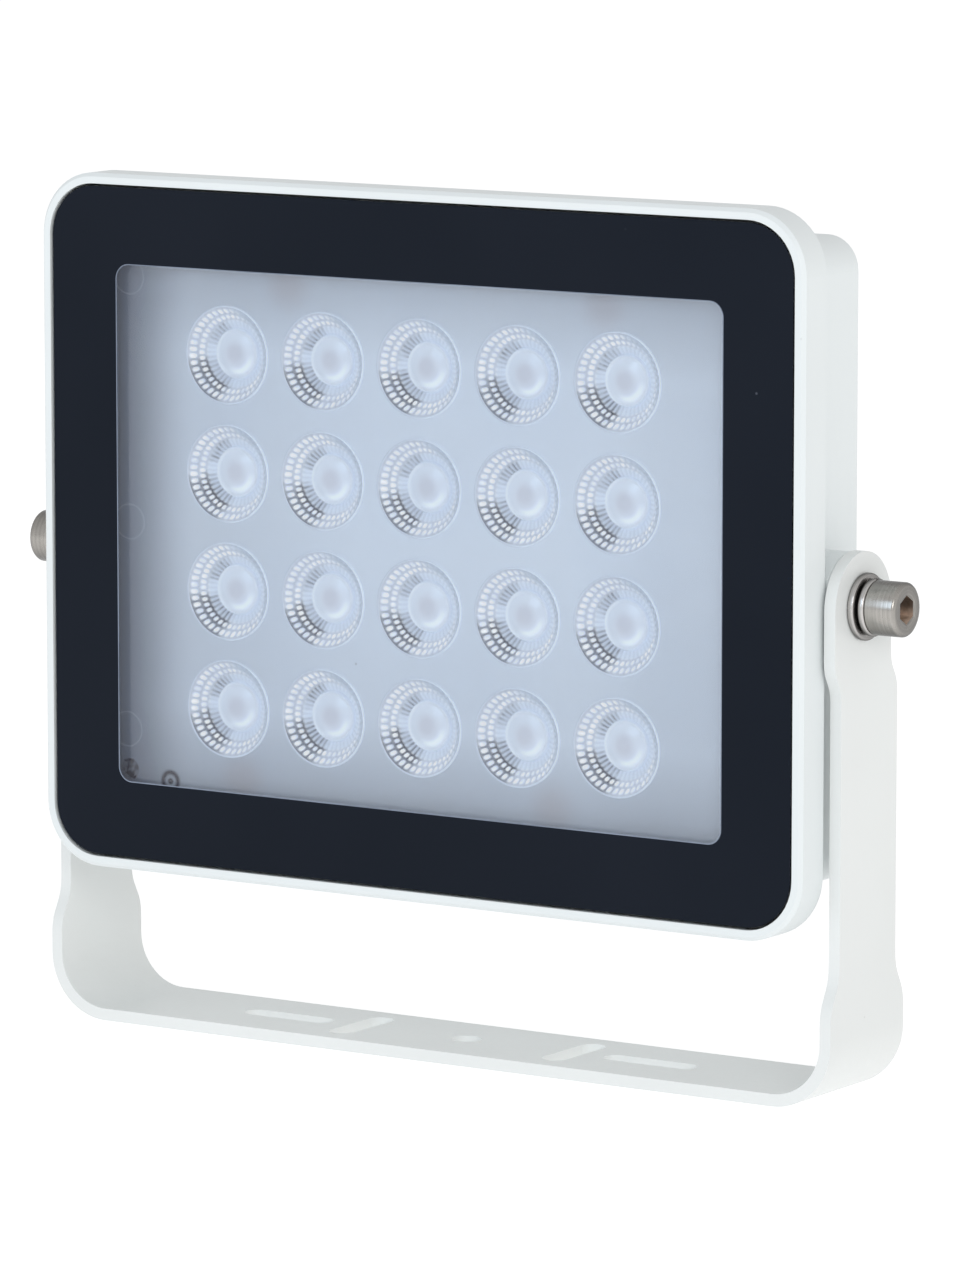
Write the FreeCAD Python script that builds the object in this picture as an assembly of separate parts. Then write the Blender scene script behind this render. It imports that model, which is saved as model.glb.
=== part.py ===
import FreeCAD, Part
import math
import os

# Infrared illuminator, in millimetres. Seen from its lit side, +X is right, +Z is up and -Y faces
# the viewer. The origin is on the underside of the bracket's base, on the axis of its centre hole.
# The lamp head is drawn in its own frame: x to the right, y as depth behind the face of the glass,
# and z up from the middle of the glass. place_head() puts it in the bracket.

V = FreeCAD.Vector
ALONG_X = V(1, 0, 0)
ALONG_Y = V(0, 1, 0)
ALONG_Z = V(0, 0, 1)
OVERCUT = 1.0                  # how far a cutting tool runs past the face that it opens

# Lamp head, overall
HEAD_WIDTH = 218.2
HEAD_HEIGHT = 172.2
HEAD_CORNER = 15.5
FRAME_PROUD = 0.4              # lip of the frame in front of the glass
FRAME_LIP = 2.6                # wall of the frame beside the glass
FRAME_SKIRT = 2.6              # wall of the frame round the housing flange
FRAME_LEDGE = 2.4              # ledge that carries the glass
FRAME_FRONT_EDGE = 0.9
FRAME_BACK_EDGE = 0.7
LEDGE_ROUND = 4.0              # corner of the opening in the ledge

# Glass and its print
GLASS_THICK = 4.0
GLASS_CLEAR = 0.25
GLASS_CHAMFER = 0.4
PRINT_THICK = 0.1
BORDER_SIDE = 22.1             # from the side of the head to the window
BORDER_END = 21.95             # from the top and the bottom of the head to the window
WINDOW_CORNER = 3.8
GLASS_SEAL_THICK = 0.6
GLASS_SEAL_INSET = 0.8

# Lens plate
LENS_COLUMNS = 5
LENS_ROWS = 4
LENS_PITCH_X = 28.0
LENS_PITCH_Z = 29.0
LENS_DROP = 0.4                # middle of the lens field below the middle of the glass
LENS_RADIUS = 12.15
LENS_TAIL_RADIUS = 5.2
LENS_LENGTH = 12.4             # from the face of the plate to the tail of a lens
LENS_FACETS = 20
LENS_TIERS = 2
LENS_SWELL = 1.6               # how full the bowl is between its face and its tail
LENS_RISE = 0.4                # face of a lens in front of the plate
LENS_WELL_RADIUS = 6.1
LENS_WELL_DEPTH = 4.6
LENS_WELL_FACETS = 10
LENS_DOME_HEIGHT = 2.0
LENS_DOME_TOP = 2.6            # radius of the flat top of the dome in the well
LENS_SOCKET_RADIUS = 3.6       # pocket over the emitter
LENS_SOCKET_DEPTH = 4.2
LENS_AIR = 0.3                 # between the glass and the plate
PLATE_THICK = 2.4
PLATE_MARGIN = 2.6             # plate beyond the window, each side
PLATE_CLEAR = 0.5              # between the plate and the opening in the ledge
LEG_THICK = 2.2
LEG_WIDTH = 12.0
LEG_HEIGHT_Z = 52.0            # of the middle of a leg from the middle of the glass
FOOT_THICK = 3.0
FOOT_CLEAR = 0.9               # between a foot and the wall of the housing

# Emitter board
BOARD_GAP = 0.6                # between the tail of a lens and the board
BOARD_THICK = 1.6
BOARD_SIDE = 12.1              # from the side of the cavity to the board
BOARD_END = 15.1               # from the top and the bottom of the cavity to the board
BOARD_CORNER = 3.0
PAD_THICK = 0.5
PAD_INSET = 4.0
CHIP_SIZE = 3.45
CHIP_BASE = 0.9
CHIP_CAP_SIZE = 2.2
CHIP_CAP_HEIGHT = 0.6
BOARD_SCREW_X = 42.0

# Housing
BODY_INSET = 9.0               # side of the body inside the side of the frame
BODY_DEPTH = 40.4
BODY_CORNER = 8.3
BODY_WALL = 3.0
BODY_EDGE = 0.8
FLANGE_THICK = 2.6
FLANGE_CLEAR = 0.25
BODY_SEAL_THICK = 0.6
BODY_SEAL_INSET = 0.6
BODY_SEAL_WIDTH = 4.6
FLOOR_THICK = 3.5
FIN_COUNT = 18
FIN_SIDE = 16.35               # from the side of the cavity to the middle of the first fin
FIN_ROOT = 2.4
FIN_TIP = 1.5
FIN_SHORT = 1.2                # tips of the fins below the rear edge of the wall
VENT_DEPTH = 9.0               # openings in the top and bottom walls between the fins
VENT_COUNT = 15
SCREW_BOSS_RADIUS = 3.4
SCREW_BOSS_HEIGHT = 3.6

# Driver box on the back of the housing
BOX_WIDTH = 114.0
BOX_HEIGHT = 84.0
BOX_CORNER = 7.0
BOX_WALL = 3.0
BOX_DEPTH = 50.0
BOX_SEAL_THICK = 0.8
BOX_SEAL_INSET = 0.5
BOX_SEAL_REACH = 10.0          # inner edge of the seal, from the side of the box
COVER_THICK = 3.2
COVER_EDGE = 1.2
COVER_PANEL_INSET = 11.0
COVER_PANEL_RISE = 1.6
COVER_PANEL_EDGE = 1.0
COVER_PANEL_CORNER = 5.0
COVER_BOSS_RADIUS = 4.4
COVER_BOSS_LENGTH = 14.0
DRIVER_POST_RADIUS = 3.2
DRIVER_POST_HEIGHT = 5.0
DRIVER_WIDTH = 98.0
DRIVER_HEIGHT = 56.0
DRIVER_THICK = 1.6
DRIVER_POST_INSET = 4.5

# Screws: plain shanks in plain bores stand for the threads
M3_RADIUS = 1.5
M3_HEAD_RADIUS = 2.75
M3_HEAD_HEIGHT = 2.4
M3_SOCKET = 2.5                # across flats
M3_SOCKET_DEPTH = 1.4
M4_RADIUS = 2.0
M4_HEAD_RADIUS = 3.5
M4_HEAD_HEIGHT = 3.0
M4_SOCKET = 3.0
M4_SOCKET_DEPTH = 1.8
FRAME_SCREW_LENGTH = 10.0
LENS_SCREW_LENGTH = 8.0
BOARD_SCREW_LENGTH = 6.0
DRIVER_SCREW_LENGTH = 5.0
COVER_SCREW_LENGTH = 12.0
SCREW_CLEAR = 0.25             # radial, in a hole that a screw passes
THREAD_CLEAR = 0.05            # radial, in a hole that a screw is threaded into
SCREW_TIP_GAP = 1.5            # bore beyond the end of a screw
POST_RADIUS = 3.1              # screw posts of the frame
FRAME_SCREW_EDGE = 3.8         # from the inside of the body wall to a frame screw
FRAME_SCREW_CHANNELS = 4       # fin channels from the middle to an upper or a lower frame screw
FRAME_SCREW_SIDE_Z = 30.0

# Tilt clamps
PIVOT_DEPTH = 20.9             # behind the face of the glass
PIVOT_DROP = 7.8               # below the middle of the glass
CLAMP_RADIUS = 4.0
CLAMP_LENGTH = 20.0
CLAMP_HEAD_RADIUS = 6.5
CLAMP_HEAD_HEIGHT = 8.0
CLAMP_SOCKET = 6.0             # across flats
CLAMP_SOCKET_DEPTH = 4.2
CLAMP_EDGE = 0.7
FLAT_WASHER_RADIUS = 8.0
FLAT_WASHER_THICK = 1.6
SPRING_WASHER_RADIUS = 6.9
SPRING_WASHER_THICK = 2.1
SPRING_WASHER_CUT = 1.2
SPRING_WASHER_SLANT = 30.0     # of the cut, in degrees
WASHER_CLEAR = 0.2             # radial, round the clamp screw
EAR_GAP = 0.05                 # each side of an ear, along the pivot
SIDE_BOSS_RADIUS = 12.6
SIDE_BOSS_INSIDE = 3.0         # of the boss inside the wall
SIDE_BOSS_FRAME_GAP = 0.3      # between the boss and the rear edge of the frame
SIDE_BOSS_EDGE = 0.8
CLAMP_BOSS_RADIUS = 8.0        # round the blind end of the clamp bore

# Bracket
SHEET = 3.0
ARM_CLEAR = 0.9                # between the side of the frame and an arm
ARM_WIDTH = 26.0
PIVOT_HEIGHT = 118.7           # above the underside of the base
PIVOT_FORWARD = 3.1            # pivot in front of the middle of the arm
BEND_RADIUS = 13.0             # inside the fold
BASE_DEPTH = 34.0
FLARE_START = 20.5             # height at which the base width begins to narrow
FLARE_END = 34.5
JOG_BELOW_PIVOT = 11.9
JOG_LENGTH = 10.0
ARM_HOLE_CLEAR = 0.3           # radial, round the clamp screw
OUTER_SLOT_X = 52.75
OUTER_SLOT_LENGTH = 25.5
OUTER_SLOT_WIDTH = 6.6
INNER_SLOT_X = 31.0
INNER_SLOT_LENGTH = 23.5
INNER_SLOT_WIDTH = 6.6
CENTRE_HOLE_RADIUS = 3.75

# Cable gland and vent, on the rear cover
GLAND_X = -24.0
GLAND_Z = -12.0
GLAND_THREAD_RADIUS = 8.0
GLAND_HOLE_CLEAR = 0.2
GLAND_HEX = 20.0
GLAND_HEX_HEIGHT = 5.0
GLAND_NECK_RADIUS = 7.6
GLAND_NECK_LENGTH = 8.0
GLAND_WALL = 2.4
GLAND_NUT_HEIGHT = 14.0
GLAND_NUT_DOME = 4.0
GLAND_NUT_END_RADIUS = 7.4
GLAND_NUT_MOUTH = 5.6
GLAND_BORE = 3.6               # of the seal, round the cable
GLAND_BODY_BORE = 4.6
GLAND_SEAL_LENGTH = 9.0
GLAND_FIT = 0.05
LOCKNUT_HEX = 22.0
LOCKNUT_HEIGHT = 4.0
LOCKNUT_PAST = 1.2             # thread that shows past the locknut
VENT_X = 30.0
VENT_Z = 16.0
VENT_RADIUS = 6.0
VENT_CAP_RADIUS = 8.5
VENT_CAP_HEIGHT = 4.5
VENT_SIDES = 12
VENT_EDGE = 0.8
VENT_BORE = 2.0
VENT_PAST = 2.0

# Wire pass through the floor
GROMMET_BORE = 2.0
GROMMET_NECK = 3.4
GROMMET_FLANGE = 5.0
GROMMET_LIP = 1.2

# What the driver board carries; heights are off the board
TRANSFORMER_WIDTH = 22.0
TRANSFORMER_HEIGHT = 16.0
TRANSFORMER_LENGTH = 20.0
TRANSFORMER_WINDOW = 11.0
TRANSFORMER_COIL_RADIUS = 7.6
TRANSFORMER_COIL_LENGTH = 24.0
TRANSFORMER_X = -12.0
TRANSFORMER_Z = 4.0
CHOKE_RADIUS = 8.5
CHOKE_HOLE = 3.6
CHOKE_HEIGHT = 7.0
CHOKE_X = 20.0
CHOKE_Z = -12.0
CAPACITOR_RADIUS = 5.0
CAPACITOR_HEIGHT = 15.0
CAPACITOR_PITCH = 11.0
CAPACITOR_COUNT = 3
CAPACITOR_X = 8.0
CAPACITOR_Z = 19.0
CHIP_WIDTH = 7.0
CHIP_HEIGHT = 1.8
CHIP_LENGTH = 5.0
CHIP_PITCH = 10.0
CHIP_COUNT = 4
CHIP_X = 38.0
CHIP_Z = -16.0
TERMINAL_WIDTH = 9.0
TERMINAL_HEIGHT = 11.0
TERMINAL_LENGTH = 24.0
TERMINAL_X = -38.0
TERMINAL_Z = -4.0
TERMINAL_WAYS = 3
TERMINAL_WIRE_RADIUS = 1.9
TERMINAL_SCREW_RADIUS = 1.7
TERMINAL_HOLE_DEPTH = 6.0

# Stations that follow from the sizes above, as depths behind the face of the glass
GLASS_FRONT = PRINT_THICK
GLASS_BACK = GLASS_FRONT + GLASS_THICK
LEDGE_FRONT = GLASS_BACK + GLASS_SEAL_THICK
LEDGE_BACK = LEDGE_FRONT + FRAME_LEDGE
FLANGE_FRONT = LEDGE_BACK + BODY_SEAL_THICK
FRAME_DEPTH = FLANGE_FRONT + FLANGE_THICK
LENS_FRONT = GLASS_BACK + LENS_AIR
PLATE_FRONT = LENS_FRONT + LENS_RISE
LENS_TAIL = LENS_FRONT + LENS_LENGTH
BOARD_FRONT = LENS_TAIL + BOARD_GAP
BOARD_BACK = BOARD_FRONT + BOARD_THICK
FLOOR_FRONT = BOARD_BACK + PAD_THICK
FLOOR_BACK = FLOOR_FRONT + FLOOR_THICK
FIN_END = BODY_DEPTH - FIN_SHORT
COVER_FRONT = BOX_DEPTH + BOX_SEAL_THICK
COVER_BACK = COVER_FRONT + COVER_THICK
PANEL_BACK = COVER_BACK + COVER_PANEL_RISE

# Widths that follow from the sizes above
GLASS_WIDTH = HEAD_WIDTH - 2 * (FRAME_LIP + GLASS_CLEAR)
GLASS_HEIGHT = HEAD_HEIGHT - 2 * (FRAME_LIP + GLASS_CLEAR)
GLASS_CORNER = HEAD_CORNER - FRAME_LIP - GLASS_CLEAR
WINDOW_WIDTH = HEAD_WIDTH - 2 * BORDER_SIDE
WINDOW_HEIGHT = HEAD_HEIGHT - 2 * BORDER_END
PLATE_WIDTH = WINDOW_WIDTH + 2 * PLATE_MARGIN
PLATE_HEIGHT = WINDOW_HEIGHT + 2 * PLATE_MARGIN
LEDGE_OPENING_WIDTH = PLATE_WIDTH + 2 * PLATE_CLEAR
LEDGE_OPENING_HEIGHT = PLATE_HEIGHT + 2 * PLATE_CLEAR
BODY_WIDTH = HEAD_WIDTH - 2 * BODY_INSET
BODY_HEIGHT = HEAD_HEIGHT - 2 * BODY_INSET
CAVITY_WIDTH = BODY_WIDTH - 2 * BODY_WALL
CAVITY_HEIGHT = BODY_HEIGHT - 2 * BODY_WALL
CAVITY_CORNER = BODY_CORNER - BODY_WALL
BOARD_WIDTH = CAVITY_WIDTH - 2 * BOARD_SIDE
BOARD_HEIGHT = CAVITY_HEIGHT - 2 * BOARD_END
FIN_PITCH = (CAVITY_WIDTH - 2 * FIN_SIDE) / (FIN_COUNT - 1)
FOOT_REACH = CAVITY_WIDTH / 2 - FOOT_CLEAR - PLATE_WIDTH / 2
ARM_INSIDE = HEAD_WIDTH / 2 + ARM_CLEAR
ARM_OUTSIDE = ARM_INSIDE + SHEET
SIDE_BOSS_END = ARM_INSIDE - EAR_GAP
WASHER_SEAT = ARM_OUTSIDE + EAR_GAP
CLAMP_SEAT = WASHER_SEAT + FLAT_WASHER_THICK + SPRING_WASHER_THICK


def place_head(shape):
    """Move a shape from the lamp head's frame into the bracket's."""
    moved = shape.copy()
    moved.translate(V(0, -PIVOT_FORWARD - PIVOT_DEPTH, PIVOT_HEIGHT + PIVOT_DROP))
    return moved


def rounded_wire(width, height, corner, y=0.0):
    """Rectangle with round corners, upright, centred on the y axis."""
    x = width / 2
    z = height / 2
    s = corner * (1 - math.sqrt(0.5))
    edges = []
    for sx, sz in ((1, 1), (-1, 1), (-1, -1), (1, -1)):
        side = V(sx * x, y, sz * (z - corner))
        middle = V(sx * (x - s), y, sz * (z - s))
        end = V(sx * (x - corner), y, sz * z)
        first, last = (side, end) if sx == sz else (end, side)
        if edges:
            edges.append(Part.makeLine(edges[-1].Vertexes[-1].Point, first))
        edges.append(Part.Arc(first, middle, last).toShape())
    edges.append(Part.makeLine(edges[-1].Vertexes[-1].Point, edges[0].Vertexes[0].Point))
    return Part.Wire(edges)


def slab(width, height, corner, front, back):
    """Upright plate with round corners between two depths."""
    return Part.Face(rounded_wire(width, height, corner, front)).extrude(ALONG_Y * (back - front))


def block(x0, x1, y0, y1, z0, z1):
    return Part.makeBox(x1 - x0, y1 - y0, z1 - z0, V(x0, y0, z0))


def rod(radius, x, z, front, back):
    """Round bar along the depth of the head."""
    return Part.makeCylinder(radius, back - front, V(x, front, z), ALONG_Y)


def hexagon(across_flats, start, length, axis):
    """Six-sided bar that begins at a point and runs along an axis."""
    corner = across_flats / math.sqrt(3)
    points = [V(corner * math.sin(math.radians(60 * i)), corner * math.cos(math.radians(60 * i)), 0)
              for i in range(7)]
    bar = Part.Face(Part.makePolygon(points)).extrude(ALONG_Z * length)
    bar.Placement = FreeCAD.Placement(start, FreeCAD.Rotation(ALONG_Z, axis))
    return bar


def edges_at_depth(shape, y):
    """Edges that lie in an upright plane at one depth."""
    return [e for e in shape.Edges if all(abs(v.Y - y) < 1e-6 for v in e.Vertexes)
            and abs(e.CenterOfMass.y - y) < 1e-6]


def cap_screw(radius, head_radius, head_height, socket, socket_depth, length, seat, axis, edge=0):
    """Socket head screw whose head sits at a point, with the shank along an axis."""
    top = seat - axis * head_height
    head = Part.makeCylinder(head_radius, head_height, top, axis)
    if edge:
        head = head.makeChamfer(edge, [e for e in head.Edges if (e.CenterOfMass - top).Length < 1e-6])
    recess = hexagon(socket, top, socket_depth, axis)
    shank = Part.makeCylinder(radius, length, seat, axis)
    return head.fuse(shank).cut(recess).removeSplitter()


def m3_screw(length, x, depth, z, axis=ALONG_Y):
    return cap_screw(M3_RADIUS, M3_HEAD_RADIUS, M3_HEAD_HEIGHT, M3_SOCKET, M3_SOCKET_DEPTH,
                     length, V(x, depth, z), axis)


def lens_places():
    """Centres of the lenses in the head's frame."""
    return [V((i - (LENS_COLUMNS - 1) / 2) * LENS_PITCH_X, 0,
              (j - (LENS_ROWS - 1) / 2) * LENS_PITCH_Z - LENS_DROP)
            for i in range(LENS_COLUMNS) for j in range(LENS_ROWS)]


def frame_screw_places():
    """Screws from the housing into the frame's posts, two on each side of the lens plate."""
    side = CAVITY_WIDTH / 2 - FRAME_SCREW_EDGE
    edge = CAVITY_HEIGHT / 2 - FRAME_SCREW_EDGE
    beside = [(sx * side, sz * FRAME_SCREW_SIDE_Z) for sx in (-1, 1) for sz in (-1, 1)]
    above = [(sx * FRAME_SCREW_CHANNELS * FIN_PITCH, sz * edge) for sx in (-1, 1) for sz in (-1, 1)]
    return beside + above


def foot_x():
    """Screw line in the feet of the lens plate."""
    return PLATE_WIDTH / 2 + FOOT_REACH / 2


def lens_screw_places():
    return [(sx * foot_x(), sz * LEG_HEIGHT_Z) for sx in (-1, 1) for sz in (-1, 1)]


def board_screw_places():
    """Each in the space between four lenses."""
    return [(sx * BOARD_SCREW_X, sz * LENS_PITCH_Z - LENS_DROP) for sx in (-1, 1) for sz in (-1, 1)]


def driver_screw_places():
    x = DRIVER_WIDTH / 2 - DRIVER_POST_INSET
    z = DRIVER_HEIGHT / 2 - DRIVER_POST_INSET
    return [(sx * x, sz * z) for sx in (-1, 1) for sz in (-1, 1)]


def cover_screw_places():
    x = BOX_WIDTH / 2 - BOX_WALL - COVER_BOSS_RADIUS / 2
    z = BOX_HEIGHT / 2 - BOX_WALL - COVER_BOSS_RADIUS / 2
    return [(sx * x, sz * z) for sx in (-1, 1) for sz in (-1, 1)]


def front_frame():
    """Ring with a lip round the glass, a ledge behind it, a skirt and posts for the screws."""
    ring = slab(HEAD_WIDTH, HEAD_HEIGHT, HEAD_CORNER, -FRAME_PROUD, FRAME_DEPTH)
    ring = ring.makeChamfer(FRAME_FRONT_EDGE, edges_at_depth(ring, -FRAME_PROUD))
    ring = ring.makeChamfer(FRAME_BACK_EDGE, edges_at_depth(ring, FRAME_DEPTH))
    recess = slab(HEAD_WIDTH - 2 * FRAME_LIP, HEAD_HEIGHT - 2 * FRAME_LIP, HEAD_CORNER - FRAME_LIP,
                  -FRAME_PROUD - OVERCUT, LEDGE_FRONT)
    opening = slab(LEDGE_OPENING_WIDTH, LEDGE_OPENING_HEIGHT, LEDGE_ROUND, 0, FRAME_DEPTH + OVERCUT)
    seat = slab(HEAD_WIDTH - 2 * FRAME_SKIRT, HEAD_HEIGHT - 2 * FRAME_SKIRT, HEAD_CORNER - FRAME_SKIRT,
                LEDGE_BACK, FRAME_DEPTH + OVERCUT)
    ring = ring.cut(recess).cut(opening).cut(seat)
    posts = [rod(POST_RADIUS, x, z, LEDGE_BACK, FLOOR_FRONT) for x, z in frame_screw_places()]
    deep = FRAME_SCREW_LENGTH - FLOOR_THICK + SCREW_TIP_GAP
    bores = [rod(M3_RADIUS + THREAD_CLEAR, x, z, FLOOR_FRONT - deep, FLOOR_FRONT)
             for x, z in frame_screw_places()]
    return ring.fuse(posts).cut(bores)


def front_glass():
    glass = slab(GLASS_WIDTH, GLASS_HEIGHT, GLASS_CORNER, GLASS_FRONT, GLASS_BACK)
    return glass.makeChamfer(GLASS_CHAMFER, edges_at_depth(glass, GLASS_FRONT))


def glass_border():
    """Printed band between the chamfer of the glass and the window."""
    band = slab(GLASS_WIDTH - 2 * GLASS_CHAMFER, GLASS_HEIGHT - 2 * GLASS_CHAMFER,
                GLASS_CORNER - GLASS_CHAMFER, 0, PRINT_THICK)
    return band.cut(slab(WINDOW_WIDTH, WINDOW_HEIGHT, WINDOW_CORNER, -OVERCUT, GLASS_BACK))


def glass_gasket():
    seal = slab(GLASS_WIDTH - 2 * GLASS_SEAL_INSET, GLASS_HEIGHT - 2 * GLASS_SEAL_INSET,
                GLASS_CORNER - GLASS_SEAL_INSET, GLASS_BACK, LEDGE_FRONT)
    return seal.cut(slab(LEDGE_OPENING_WIDTH + 2 * GLASS_SEAL_INSET,
                         LEDGE_OPENING_HEIGHT + 2 * GLASS_SEAL_INSET,
                         LEDGE_ROUND + GLASS_SEAL_INSET, 0, FRAME_DEPTH))


def facet_ring(radius, y, count):
    """Corners of a regular polygon that the facets of one tier end on."""
    step = 2 * math.pi / count
    return [V(radius * math.cos(i * step), y, radius * math.sin(i * step)) for i in range(count)]


def faceted(rings, count):
    """Solid with flat facets between rings, each ring a radius and a depth."""
    loops = [facet_ring(radius, y, count) for radius, y in rings]
    outlines = [loops[0], loops[-1]]
    for near, far in zip(loops, loops[1:]):
        outlines += [[near[i - 1], near[i], far[i], far[i - 1]] for i in range(count)]
    shell = Part.Shell([Part.Face(Part.makePolygon(points + points[:1])) for points in outlines])
    solid = Part.Solid(shell)
    if solid.Volume < 0:
        solid.reverse()
    return solid


def lens_bowl():
    """Faceted bowl of one lens, from its face to its tail."""
    narrowing = LENS_RADIUS - LENS_TAIL_RADIUS
    shares = [tier / LENS_TIERS for tier in range(LENS_TIERS + 1)]
    return faceted([(LENS_RADIUS - narrowing * share ** LENS_SWELL, LENS_LENGTH * share)
                    for share in shares], LENS_FACETS)


def lens_well():
    """Space in front of the dome of one lens."""
    floor = LENS_WELL_DEPTH - LENS_DOME_HEIGHT
    well = faceted([(LENS_WELL_RADIUS, -OVERCUT), (LENS_WELL_RADIUS, LENS_WELL_DEPTH)], LENS_WELL_FACETS)
    dome = faceted([(LENS_WELL_RADIUS, LENS_WELL_DEPTH), (LENS_DOME_TOP, floor)], LENS_WELL_FACETS)
    return well.cut(dome)


def lens_socket():
    """Pocket over the emitter in the tail of one lens."""
    return faceted([(LENS_SOCKET_RADIUS, LENS_LENGTH - LENS_SOCKET_DEPTH),
                    (LENS_SOCKET_RADIUS, LENS_LENGTH + OVERCUT)], LENS_WELL_FACETS)


def at_lenses(shape):
    """One copy of a shape for each lens."""
    copies = []
    for place in lens_places():
        copy = shape.copy()
        copy.translate(place + ALONG_Y * LENS_FRONT)
        copies.append(copy)
    return copies


def plate_leg(x, z):
    """Leg down from the edge of the plate, with a foot that reaches out to its screw."""
    side = math.copysign(1, x)
    edge = PLATE_WIDTH / 2
    low, high = z - LEG_WIDTH / 2, z + LEG_WIDTH / 2
    spans = [sorted((side * (edge - LEG_THICK), side * edge)),
             sorted((side * (edge - LEG_THICK), side * (edge + FOOT_REACH)))]
    leg = block(*spans[0], PLATE_FRONT, FLOOR_FRONT, low, high)
    foot = block(*spans[1], FLOOR_FRONT - FOOT_THICK, FLOOR_FRONT, low, high)
    return leg.fuse(foot).cut(rod(M3_RADIUS + SCREW_CLEAR, x, z, PLATE_FRONT, FLOOR_FRONT))


def lens_plate():
    """Plate behind the window that carries every lens, and four legs with screwed feet."""
    plate = slab(PLATE_WIDTH, PLATE_HEIGHT, LEDGE_ROUND - PLATE_CLEAR, PLATE_FRONT,
                 PLATE_FRONT + PLATE_THICK)
    legs = [plate_leg(x, z) for x, z in lens_screw_places()]
    plate = plate.fuse(legs + at_lenses(lens_bowl())).removeSplitter()
    return plate.cut(at_lenses(lens_well()) + at_lenses(lens_socket()))


def lens_screws():
    return [m3_screw(LENS_SCREW_LENGTH, x, FLOOR_FRONT - FOOT_THICK, z) for x, z in lens_screw_places()]


def led_board():
    board = slab(BOARD_WIDTH, BOARD_HEIGHT, BOARD_CORNER, BOARD_FRONT, BOARD_BACK)
    holes = [rod(M3_RADIUS + SCREW_CLEAR, x, z, 0, FLOOR_BACK) for x, z in board_screw_places()]
    holes.append(rod(GROMMET_FLANGE + SCREW_CLEAR, 0, wire_pass_z(), 0, FLOOR_BACK))
    return board.cut(holes)


def wire_pass_z():
    """The wires pass between four lenses."""
    return LENS_PITCH_Z - LENS_DROP


def thermal_pad():
    pad = slab(BOARD_WIDTH - 2 * PAD_INSET, BOARD_HEIGHT - 2 * PAD_INSET, BOARD_CORNER, BOARD_BACK, FLOOR_FRONT)
    holes = [rod(M3_HEAD_RADIUS, x, z, 0, FLOOR_BACK) for x, z in board_screw_places()]
    holes.append(rod(GROMMET_FLANGE + SCREW_CLEAR, 0, wire_pass_z(), 0, FLOOR_BACK))
    return pad.cut(holes)


def board_screws():
    return [m3_screw(BOARD_SCREW_LENGTH, x, BOARD_FRONT, z) for x, z in board_screw_places()]


def led_chips():
    """Square emitter packages, each with a raised square cap."""
    chips = []
    half = CHIP_SIZE / 2
    cap = CHIP_CAP_SIZE / 2
    top = BOARD_FRONT - CHIP_BASE
    for place in lens_places():
        base = block(place.x - half, place.x + half, top, BOARD_FRONT, place.z - half, place.z + half)
        chips.append(base.fuse(block(place.x - cap, place.x + cap, top - CHIP_CAP_HEIGHT, top,
                                     place.z - cap, place.z + cap)))
    return chips


def body_gasket():
    outer = 2 * (FRAME_SKIRT + FLANGE_CLEAR + BODY_SEAL_INSET)
    inner = outer + 2 * BODY_SEAL_WIDTH
    seal = slab(HEAD_WIDTH - outer, HEAD_HEIGHT - outer, HEAD_CORNER - outer / 2, LEDGE_BACK, FLANGE_FRONT)
    return seal.cut(slab(HEAD_WIDTH - inner, HEAD_HEIGHT - inner, HEAD_CORNER - inner / 2, 0, BODY_DEPTH))


def fin(x, z0, z1):
    """Cooling fin, thicker at the floor than at its tip."""
    points = [V(x - FIN_ROOT / 2, FLOOR_BACK, z0), V(x + FIN_ROOT / 2, FLOOR_BACK, z0),
              V(x + FIN_TIP / 2, FIN_END, z0), V(x - FIN_TIP / 2, FIN_END, z0)]
    return Part.Face(Part.makePolygon(points + points[:1])).extrude(ALONG_Z * (z1 - z0))


def fins():
    """Upright fins between the walls, interrupted by the driver box."""
    wall = CAVITY_HEIGHT / 2
    box = BOX_HEIGHT / 2
    ribs = []
    for i in range(FIN_COUNT):
        x = (i - (FIN_COUNT - 1) / 2) * FIN_PITCH
        if abs(x) < BOX_WIDTH / 2:
            ribs.append(fin(x, box - BOX_WALL / 2, wall))
            ribs.append(fin(x, -wall, -box + BOX_WALL / 2))
        else:
            ribs.append(fin(x, -wall, wall))
    return ribs


def air_vents():
    """Notches in the top and bottom walls, one for each channel between two fins."""
    width = FIN_PITCH - FIN_ROOT
    vents = []
    for i in range(VENT_COUNT):
        x = (i - (VENT_COUNT - 1) / 2) * FIN_PITCH
        vents.append(block(x - width / 2, x + width / 2, BODY_DEPTH - VENT_DEPTH, BODY_DEPTH + OVERCUT,
                           -BODY_HEIGHT / 2 - OVERCUT, -CAVITY_HEIGHT / 2))
        vents.append(block(x - width / 2, x + width / 2, BODY_DEPTH - VENT_DEPTH, BODY_DEPTH + OVERCUT,
                           CAVITY_HEIGHT / 2, BODY_HEIGHT / 2 + OVERCUT))
    return vents


def side_boss(side):
    """Round boss that meets the ear, cut flat where it passes the frame."""
    start = V(side * (CAVITY_WIDTH / 2 - SIDE_BOSS_INSIDE), PIVOT_DEPTH, -PIVOT_DROP)
    length = SIDE_BOSS_END - CAVITY_WIDTH / 2 + SIDE_BOSS_INSIDE
    boss = Part.makeCylinder(SIDE_BOSS_RADIUS, length, start, ALONG_X * side)
    boss = boss.makeChamfer(SIDE_BOSS_EDGE, [e for e in boss.Edges if len(e.Vertexes) == 1
                                             and abs(e.CenterOfMass.x) > SIDE_BOSS_END - SIDE_BOSS_EDGE])
    flat = FRAME_DEPTH + SIDE_BOSS_FRAME_GAP
    return boss.cut(block(-HEAD_WIDTH, HEAD_WIDTH, flat - HEAD_WIDTH, flat, -HEAD_HEIGHT, HEAD_HEIGHT))


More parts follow.
